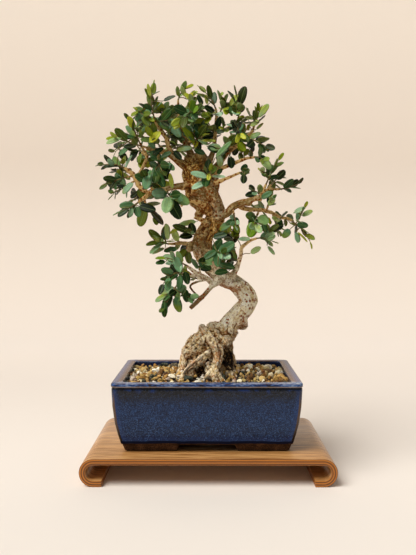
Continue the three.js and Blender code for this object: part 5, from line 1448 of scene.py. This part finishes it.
def roughness_of(points, stout):
    """How rough the bark is: most at the foot, least on the smooth bend above it."""
    height = points[:, 2]
    foot_part = np.clip((164 - height) / 18, 0, 1)
    upper_part = 0.85 * np.clip((height - 205) / 25, 0, 1) * np.clip((stout - 4) / 5, 0, 1)
    return np.maximum(np.maximum(foot_part, upper_part), 0.18)


def displaced(mesh):
    """Old wood is uneven: swellings, long fibres and pits move each point along its normal."""
    points = corners_of(mesh)
    grain, stout = grain_field(points)
    rough = roughness_of(points, stout)
    moves = np.zeros(len(points))
    for i, (p, g) in enumerate(zip(points, grain)):
        size = min(1.0, stout[i] / 9)
        coarse = noise.fractal(Vector(p) * 0.085, 0.9, 2.1, 3) * (0.6 + 0.9 * rough[i])
        fibres = noise.fractal(Vector(g * [0.42, 0.42, 0.05]), 0.8, 2.2, 3) * 0.5
        folds = 1.4 * ridge(*(p * [0.13, 0.13, 0.08])) + 0.9 * ridge(*(p * 0.27))
        warped = Vector(p * [0.11, 0.11, 0.055]) + 0.4 * noise.noise_vector(Vector(p) * 0.09)
        nearest, following = noise.voronoi(warped)[0][:2]
        burls = 3.0 * (0.42 - nearest) - 2.2 * max(0.0, 1 - (following - nearest) / 0.2)
        burls *= min(1.0, max(0.0, (162 - p[2]) / 12))
        moves[i] = size * (coarse + fibres + burls + folds * max(0.0, rough[i] - 0.3))
    for *place, radius, depth in WOUNDS:
        away = np.linalg.norm(points - place, axis=1) / radius
        moves += -depth * np.exp(-(away / 0.85) ** 2) + 0.35 * depth * np.exp(-((away - 1.5) / 0.4) ** 2)
    moved = points + vectors_of(mesh, "normal") * moves[:, None]
    mesh.vertices.foreach_set("co", (moved * MM).astype(np.float32).ravel())
    mesh.update()


def grain_field(points):
    """Coordinates that follow the wood: round each limb, and along it. Also how stout the limb is there."""
    samples = []
    for route in [FOOT_LINE, TRUNK] + ROOTS + STRANDS[:10] + twig_routes():
        line = smooth_route(route)
        lengths = np.cumsum([0, *np.linalg.norm(np.diff(line[:, :3], axis=0), axis=1)])
        samples += zip(line, lengths, route_frames(line))
    tree = tree_of(place[:3] for place, *_ in samples)
    grain = np.zeros((len(points), 3))
    stout = np.zeros(len(points))
    for i, p in enumerate(points):
        best = min(tree.find_n(p, 6), key=lambda found: found[2] - 0.8 * samples[found[1]][0][3])
        place, length, (heading, across, deep) = samples[best[1]]
        offset = p - place[:3]
        grain[i] = (offset.dot(across), offset.dot(deep), length + offset.dot(heading))
        stout[i] = place[3]
    return grain, stout


def tree_of(places):
    """A search tree of places, each under its number."""
    places = list(places)
    tree = kdtree.KDTree(len(places))
    for i, place in enumerate(places):
        tree.insert(place, i)
    tree.balance()
    return tree


def hollowness(mesh):
    """How far each point lies below its surroundings, in millimetres."""
    points = corners_of(mesh)
    edges = np.zeros(len(mesh.edges) * 2, np.int32)
    mesh.edges.foreach_get("vertices", edges)
    a, b = edges.reshape(-1, 2).T
    count = np.maximum(np.bincount(edges, minlength=len(points)), 1)

    def spread(values):
        total = np.zeros_like(values)
        np.add.at(total, a, values[b])
        np.add.at(total, b, values[a])
        return (total.T / count).T

    hollow = ((spread(spread(spread(points))) - points) * vectors_of(mesh, "normal")).sum(1)
    for _ in range(2):
        hollow = 0.5 * hollow + 0.5 * spread(hollow)
    return hollow


def near_rows(points, rows):
    """How near each point is to the places of a table, from 0 to 1."""
    return np.clip(sum(near(points, place, reach) for *place, reach in rows), 0, 1)


def make_wood():
    routes = twig_routes()
    parts = [foot(), tube(TRUNK, 28, 0.85, (3, 0.07, 0.3))]
    parts += [tube(route, 16) for route in ROOTS + STRANDS]
    parts += [tube(part, 14) for part in map(stout_part, routes) if part]
    parts += [ball(*lump) for lump in LUMPS]
    rough = new_piece("rough_wood", fixed_out(new_mesh("rough_wood", *merged(parts))))
    modify(rough, "REMESH", mode="VOXEL", voxel_size=0.9 * MM)
    modify(rough, "SMOOTH", iterations=8)
    mesh = applied(rough)
    displaced(mesh)
    thin = [smooth_route(thin_part(route), 1.6) for route in routes]
    for line in thin:
        roughen_line(line)
    twigs = stems_along("twigs", thin, 10, olive_bark)
    piece = joined("trunk_wood", [new_piece("trunk_wood", mesh), twigs])
    mesh = piece.data
    mesh.materials.clear()
    mesh.materials.append(olive_bark)
    for name, value in (("material_index", 0), ("use_smooth", True)):
        mesh.polygons.foreach_set(name, [value] * len(mesh.polygons))
    points = corners_of(mesh)
    grain, stout = grain_field(points)
    paint(mesh, "grain", grain * MM, "FLOAT_VECTOR")
    paint(mesh, "rough", roughness_of(points, stout))
    paint(mesh, "limb", np.clip((6.5 - stout) / 2.5, 0, 1))
    for name, rows in (("rust", RUST), ("weathered", WEATHERED), ("pale", PALE)):
        paint(mesh, name, near_rows(points, rows))
    hollow = hollowness(mesh)
    # How far each point stands above its surroundings, for a painted highlight on ridges.
    paint(mesh, "crest", np.clip((-hollow - 0.04) / 0.35, 0, 1))
    # How far each point lies in a hollow, and the holes of old wounds, for painted shade.
    crevice = np.clip((hollow - 0.05) / 0.4, 0, 1)
    crevice += sum(1.2 * near(points, place, 0.75 * radius) for *place, radius, _ in WOUNDS)
    paint(mesh, "crevice", np.clip(crevice, 0, 1))
    # Near the hollows of the foot: painted shade.
    away = np.min([np.linalg.norm((points - middle) / half, axis=1) for middle, half in DARK], axis=0)
    paint(mesh, "dark", np.clip((1.15 - away) / 0.4, 0, 1))
    ride_and_replace(piece, "bark", "trunk")


def roughen_line(line):
    """Twigs thicken and thin a little, and kink at their nodes."""
    for i, row in enumerate(line):
        row[3] *= 1 + 0.22 * noise.noise(Vector(row[:3]) * 0.35)
        if 0 < i < len(line) - 1:
            row[:3] += np.array(noise.noise_vector(Vector(row[:3]) * 0.2)) * 0.35


# ---- Shoots and leaves ----
def shoot_curve(shoot, first):
    """The three control points of a shoot's bend."""
    begin, second, tip = (np.array(p, float) for p in shoot[:3])
    along = unit(second - begin)
    start = second + along * CLEARANCE if first else begin
    return start, start + along * 0.4 * np.linalg.norm(tip - start), tip


def curve_point(curve, t):
    a, b, c = curve
    return (1 - t) ** 2 * a + 2 * (1 - t) * t * b + t * t * c


def curve_heading(curve, t):
    step = 0.0001
    return unit(curve_point(curve, min(1, t + step)) - curve_point(curve, max(0, t - step)))


def shoot_frame(curve, t):
    """The shoot's heading, and two directions across it."""
    ends = [curve_heading(curve, 0), curve_heading(curve, 1)]
    leans = [max(abs(end[n]) for end in ends) for n in range(3)]
    along = curve_heading(curve, t)
    side = unit(np.cross(np.eye(3)[int(np.argmin(leans))], along))
    return along, side, np.cross(along, side)


def shoot_point(curve, t):
    """A place on the shoot, which is made of two straight halves."""
    start = 0.5 if t > 0.5 else 0.0
    a, b = curve_point(curve, start), curve_point(curve, start + 0.5)
    return a + (b - a) * (t - start) / 0.5


def blade_width(s):
    return np.sin(np.pi * np.clip(s, 0, 1) ** 0.92).clip(0) ** 0.7


class Leaf:
    """A blade on its stalk, turned round the shoot and opened from it."""

    def __init__(self, base, axes, turn, opened, twist, length, width, bend):
        along, side, other = axes
        out = side * math.cos(turn) + other * math.sin(turn)
        self.along = along * math.cos(opened) + out * math.sin(opened)
        up = along * math.sin(opened) - out * math.cos(opened)
        self.up = up * math.cos(twist) + np.cross(up, self.along) * math.sin(twist)
        self.across = np.cross(self.up, self.along)
        self.base = base + out * SEAT
        self.length = length
        self.half = length * width / 2
        self.bend = bend

    def face_light(self, share):
        """Twists the blade on its stalk, part of the way to the light and outwards from the trunk."""
        wish = np.array([self.base[0] / 180, (self.base[1] - 6) / 60 - 0.8, 0.65])
        wish -= self.along * wish.dot(self.along)
        self.up = unit(self.up * (1 - share) + unit(wish) * share)
        self.across = np.cross(self.up, self.along)

    def point(self, s, v):
        half = self.half * float(blade_width(s))
        rise = FOLD * abs(v) * half - self.bend * self.length * s * s
        return self.base + self.along * self.length * s + self.across * v * half + self.up * rise


class Cloud:
    """Points that a leaf keeps away from, each with a radius and the spray that it belongs to."""

    def __init__(self):
        self.rows = np.zeros((60000, 6))
        self.count = 0

    def add(self, place, radius, owner, blade=0):
        self.rows[self.count] = (*place[:3], radius, owner, blade)
        self.count += 1

    def add_route(self, points):
        for a, b in zip(points, points[1:]):
            steps = math.ceil(math.dist(a[:3], b[:3]) / 2)
            for place in np.linspace(a, b, steps + 1):
                self.add(place, place[3], WOOD)

    def is_clear(self, leaf, owner, gap, own_gap):
        tip = leaf.point(1.0, 0)
        if abs(tip[0]) > REACH_X or abs(tip[1]) > REACH_Y or tip[2] > TOP:
            return False
        rows = self.rows[:self.count]
        d = rows[:, :3] - leaf.base
        x = d @ leaf.along
        own = rows[:, 4] == owner
        margin = np.where(own, own_gap, gap + rows[:, 3])
        free = own & (rows[:, 5] == 0)
        free |= (x < np.where(own, OWN_BASE * leaf.length, WOOD_BASE)) | (x > leaf.length + margin)
        s = np.minimum(1, x / leaf.length)
        free |= np.abs(d @ leaf.across) > leaf.half * blade_width(s) + margin
        free |= np.abs(d @ leaf.up + leaf.bend * leaf.length * s * s) > margin
        return bool(free.all())

    def add_leaf(self, leaf, owner):
        for s in (0.12, 0.25, 0.4, 0.55, 0.7, 0.85, 1.0):
            for v in (-1, 0, 1):
                self.add(leaf.point(s, v), 0, owner, 1)


def grow_leaves(shoot, curve, owner, cloud, draw, gap, own_gap, tries, lit=0):
    """The leaves of one shoot: opposite pairs, each a quarter turn from the last."""
    pairs, size, width, turn = shoot[3:7]
    leaves = []
    for i in range(2 * pairs):
        pair = i // 2
        t = FIRST_PAIR + (LAST_PAIR - FIRST_PAIR) * pair / (pairs - 1)
        base, axes = shoot_point(curve, t), shoot_frame(curve, t)
        turned = turn + 90 * pair + 180 * (i % 2)
        opened = OPEN + (OPEN_AT_TIP - OPEN) * t
        shorter = 1 - YOUTH * max(0, t - YOUNG) / (1 - YOUNG)
        scatter = [2 * draw() - 1 for _ in range(5)]
        for k in range(tries):
            aside = (1 if k % 2 else -1) * math.ceil(k / 2)
            leaf = Leaf(
                base, axes,
                math.radians(turned + SCATTER["turn"] * scatter[0] + SWING["turn"] * aside),
                math.radians(opened + SCATTER["open"] * scatter[1] + SWING["open"] * ((k % 3) - 1)),
                math.radians(SCATTER["twist"] * scatter[2]),
                size * shorter * (1 + SCATTER["length"] * scatter[3]) * (1 - SWING["shrink"] * k),
                width, SCATTER["bend"] * scatter[4],
            )
            if lit:
                leaf.face_light(lit)
            if cloud.is_clear(leaf, owner, gap, own_gap):
                leaf.youth = max(0, (t - 0.3) / 0.67)
                leaves.append(leaf)
                cloud.add_leaf(leaf, owner)
                break
    return leaves


def crown_targets(count, draw):
    """Places spread over the full parts of the crown, most of them near its middle plane."""
    areas = np.array([half_x * half_z * full for _, _, half_x, half_z, full in LOBES])
    edges = np.cumsum(areas / areas.sum())
    targets = []
    for _ in range(40 * count):
        if len(targets) == count:
            break
        x, z, half_x, half_z, _ = LOBES[int(np.searchsorted(edges, draw()))]
        away, angle = math.sqrt(draw()), 2 * math.pi * draw()
        deep = CROWN_DEPTH * min(1.0, (half_x + half_z) / 40) * (draw() + draw() - 1)
        place = np.array([x + half_x * away * math.cos(angle), CROWN_Y + deep,
                          z + half_z * away * math.sin(angle)])
        if abs(place[0]) < 120 and place[2] < 418 and all(math.dist(place, t) > 8.2 for t in targets):
            targets.append(place)
    return targets


def side_shoots(carriers, draw):
    """More shoots, from the nearest twig or shoot to each place that the crown should fill."""
    made = []
    waiting = crown_targets(EXTRA_SHOOTS, draw)
    for _ in range(4):
        tree = tree_of(place for _, place, _ in carriers)
        later, fresh = [], []
        for target in waiting:
            _, index, away = tree.find(target)
            region, start, along = carriers[index]
            if away > LONGEST:
                later.append(target)
            elif away > SHORTEST:
                second = start + unit(0.8 * unit(target - start) + along) * 2.5
                pairs = 2 if away < 12 else 3 if away < 20 else 4
                shoot = (start, second, target, pairs, 13 + 6.5 * draw(), 0.5 + 0.16 * draw(), 90 * draw())
                made.append((region, shoot))
                curve = shoot_curve(shoot, False)
                fresh += [(region, shoot_point(curve, t), curve_heading(curve, t)) for t in (0.5, 0.8)]
        carriers = carriers + fresh
        waiting = later
    return made


def blade_outline(s):
    if s < 0.1:
        return 0.1
    u = (s - 0.08) / 0.92
    return max(0.1, (1 - abs(2 * u ** 0.92 - 1) ** 2.1) ** 0.52)


def blade_mesh(name, curl, twist, wave, thick):
    """A closed blade of length 1 and half width 1: narrow stalk, blunt tip, folded along the midrib."""
    columns = (-1, -0.5, 0, 0.5, 1)
    points, faces, under = [], [], []

    def spot(s, v, lower=False):
        width = blade_outline(s)
        y, z = v * width, FOLD * abs(v) * width + wave * math.sin(5 * s * math.pi) * v * width
        turn = twist * (s - 0.4)
        y, z = y * math.cos(turn) - z * math.sin(turn), y * math.sin(turn) + z * math.cos(turn)
        z += 2 * curl * max(0, s - 0.5) ** 2
        if lower:
            z -= thick * (1 - abs(v)) * (1 if s < 0.9 else 0.6)
        points.append((s, y, z))
        return len(points) - 1

    def add(lower, *corners):
        faces.append(corners)
        under.append(lower)

    top, low = [], []
    for s in (0, 0.09, 0.17, 0.3, 0.48, 0.67, 0.84, 0.95):
        top.append([spot(s, v) for v in columns])
        low.append([top[-1][0], *(spot(s, v, True) for v in columns[1:-1]), top[-1][-1]])
    tip = spot(0.999, 0)
    for i in range(len(top) - 1):
        for j in range(4):
            add(False, top[i][j], top[i + 1][j], top[i + 1][j + 1], top[i][j + 1])
            add(True, low[i][j], low[i][j + 1], low[i + 1][j + 1], low[i + 1][j])
    for j in range(4):
        add(False, top[-1][j], tip, top[-1][j + 1])
        add(True, low[-1][j], low[-1][j + 1], tip)
    add(True, *top[0], *low[0][3:0:-1])
    mesh = new_mesh(name, points, faces, size=1)
    paint_uv(mesh, "blade", [(points[i][0], 0.5 + 0.5 * points[i][1]) for face in faces for i in face])
    paint(mesh, "reach", [*(point[0] for point in points[:-1]), 1])
    paint(mesh, "underside", under, domain="FACE")
    return fixed_out(mesh)


def leaf_shapes():
    holder = bpy.data.collections.new("blades")
    for k, shape in enumerate(BLADES):
        name = f"blade_{k}"
        holder.objects.link(bpy.data.objects.new(name, blade_mesh(name, *shape)))
    return holder


def leaves_mesh(leaves, draw):
    """One point for each leaf, with all that the leaf rule reads."""
    mesh = new_mesh("leaves", [leaf.base for leaf in leaves])
    turns = [Matrix([leaf.along, leaf.across, leaf.up]).transposed().to_quaternion() for leaf in leaves]
    sizes = np.array([(leaf.length, leaf.half, leaf.half) for leaf in leaves])
    paint(mesh, "turn", turns, "QUATERNION")
    paint(mesh, "size", sizes * MM, "FLOAT_VECTOR")
    paint(mesh, "up", [leaf.up for leaf in leaves], "FLOAT_VECTOR")
    paint(mesh, "shape", [int(draw() * len(BLADES)) for _ in leaves], "INT")
    paint(mesh, "droop", [leaf.bend * leaf.length * MM for leaf in leaves])
    paint(mesh, "tone", [leaf.tone for leaf in leaves])
    paint(mesh, "youth", [leaf.youth for leaf in leaves])
    return mesh


def give_tones(leaves, fresh, draw):
    """Gives the leaves of a shoot a tone of their own, and the young ones their lime green."""
    shoot_tone = draw()
    for leaf in leaves:
        leaf.tone = min(1.0, max(0.0, shoot_tone * 0.65 + draw() * 0.75 - 0.2))
        leaf.youth = min(1.0, fresh * leaf.youth ** 1.6 * (0.8 + 0.6 * draw()))


def front_leaf(base, tip, width, tone, youth):
    """A leaf from one place to another, turned broad side to the light."""
    along = unit(tip - base)
    side = unit(np.cross(along, [0, 1, 0]))
    leaf = Leaf(base, (along, side, np.cross(along, side)), 0, 0, 0, np.linalg.norm(tip - base), width, 0.05)
    leaf.face_light(1.0)
    leaf.tone, leaf.youth = tone, youth
    return leaf


def nearest_region(place):
    def away(region):
        return min(math.dist(shoot[0], place) for name in REGIONS[region] for shoot in SPRAYS[name])
    return min(REGIONS, key=away)


def nearest_carrier(carriers, x, z):
    """What a leaf at the front grows from. Twigs and shoots that stand forward count as nearer."""
    def away(carrier):
        at_x, at_y, at_z = carrier[1]
        return math.hypot(at_x - x, at_z - z) - 0.25 * min(30, -at_y)
    return min(carriers, key=away)


def stem_line(curve, thick):
    """The shoot's middle line, thinner to the tip, starting a little inside what carries it."""
    start = curve[0] - unit(curve[1] - curve[0]) * 1.2
    return [(*start, thick)] + [(*shoot_point(curve, k / 8), thick * (1 - k / 16)) for k in range(9)]


def make_foliage():
    """The shoots of the sprays, then the leaves listed one by one, then small shoots where the crown is full.
    """
    cloud = Cloud()
    for route in [TRUNK] + ROOTS + twig_routes():
        cloud.add_route(route)
    for knob in KNOBS:
        cloud.add(knob, knob[3], WOOD)
    region_of = {name: region for region, members in REGIONS.items() for name in members}
    shoots = [
        (region_of[name], owner, FRESH.get(name, 0.1), n == 0, shoot, shoot_curve(shoot, n == 0))
        for owner, (name, spray) in enumerate(SPRAYS.items(), WOOD + 1) for n, shoot in enumerate(spray)
    ]
    for _, owner, _, _, _, curve in shoots:
        for k in range(11):
            cloud.add(curve_point(curve, k / 10), CUT_RADIUS, owner)
    draw, look, extra = (seeded(SEEDS[use]) for use in ("leaves", "tones", "extra shoots"))
    leaves = {region: [] for region in REGIONS}
    lines = {region: [] for region in REGIONS}
    carriers = []
    for region, owner, fresh, first, shoot, curve in shoots:
        own = grow_leaves(shoot, curve, owner, cloud, draw, *SPRAY_ROOM)
        for leaf in own:
            leaf.face_light(0.6)
            leaf.half *= 1.14
        give_tones(own, fresh, look)
        leaves[region] += own
        lines[region].append(stem_line(curve, 0.95 if first else 0.75))
        for t in (0.25, 0.45, 0.65, 0.85):
            carriers.append((region, shoot_point(curve, t), curve_heading(curve, t)))
    for route in twig_routes():
        line = smooth_route(route, 7.0)
        for before, (*place, radius), after in zip(line[:, :3], line[1:], line[2:, :3]):
            if radius < 2.7:
                carriers.append((nearest_region(place), np.array(place), unit(after - before)))
    for x, z, tip_x, tip_z, *looks in FRONT_LEAVES:
        region, start, heading = nearest_carrier(carriers, x, z)
        base = np.array([x, start[1] - 3, z])
        leaf = front_leaf(base, np.array([tip_x, start[1] - 7, tip_z]), *looks)
        leaves[region].append(leaf)
        cloud.add_leaf(leaf, FRONT)
        middle = (start + base) / 2 + [0, 0, 0.8]
        lines[region].append([(*(start - 0.6 * heading), 0.6), (*middle, 0.5), (*leaf.base, 0.45)])
    for owner, (region, shoot) in enumerate(side_shoots(carriers, extra), FRONT + 1):
        curve = shoot_curve(shoot, False)
        more = grow_leaves(shoot, curve, owner, cloud, extra, *EXTRA_ROOM, lit=0.7)
        if len(more) >= 2:
            give_tones(more, 0.5 + 0.7 * extra() if extra() < 0.4 else 0.1, look)
            leaves[region] += more
            lines[region].append(stem_line(curve, 0.6))
    shapes = leaf_shapes()
    for region, members in REGIONS.items():
        points = leaves_mesh(leaves[region], look)
        blades = grown("leaves_" + region, points, leaf_rule, shapes=shapes, droop=1.0, finish=olive_leaf)
        stems = stems_along("stems_" + region, lines[region], 7, green_stem)
        piece = joined("foliage_" + region, [blades, stems])
        ride_and_replace(piece, "leaf", *["spray_" + name for name in members])


# ---- Floor, light and camera ----
def make_stage():
    """A plain pale floor that curves up to a backdrop."""
    section = [(-900, 0), (700, 0)]
    for angle in np.linspace(0, math.pi / 2, 13)[1:]:
        section.append((700 + 500 * math.sin(angle), 500 * (1 - math.cos(angle))))
    section.append((1200, 2600))
    points = [(x, y, z) for y, z in section for x in (-2600, 2600)]
    faces = [(i, i + 1, i + 3, i + 2) for i in range(0, len(points) - 2, 2)]
    new_piece("floor", new_mesh("floor", points, faces), 60, pale_paper)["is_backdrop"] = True


def make_lights():
    sun = bpy.data.lights.new("key", "SUN")
    sun.energy = 3.35
    sun.angle = math.radians(40)
    sun.color = (1.0, 0.985, 0.96)
    holder = new_piece("key", sun)
    holder.rotation_euler = Vector((0.6, 0.42, -1.0)).to_track_quat("-Z", "Y").to_euler()
    world = bpy.data.worlds.new("sky")
    world.use_nodes = True
    building.append(world.node_tree)
    seen = put("ShaderNodeLightPath")["Is Camera Ray"]
    light = blend(seen, (0.21, 0.21, 0.21, 1.0), (0.88, 0.76, 0.63, 1.0))
    connect(world.node_tree.nodes["Background"], {"Color": light, "Strength": 1.0})
    building.pop()
    scene.world = world
    scene.view_settings.view_transform = "Standard"


def make_camera():
    camera = bpy.data.cameras.new("camera")
    camera.lens = 42.92
    camera.sensor_width = 36
    camera.clip_start = 0.01
    holder = new_piece("camera", camera)
    holder.location = (0.0017, -0.745, 0.2444)
    holder.rotation_euler = (math.pi / 2 - 0.046, 0, 0.003)
    scene.camera = holder


make_camera()
make_lights()
make_stage()
make_stand()
make_pot()
make_drain_meshes()
make_gravel()
make_wood()
make_foliage()

shown_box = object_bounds()
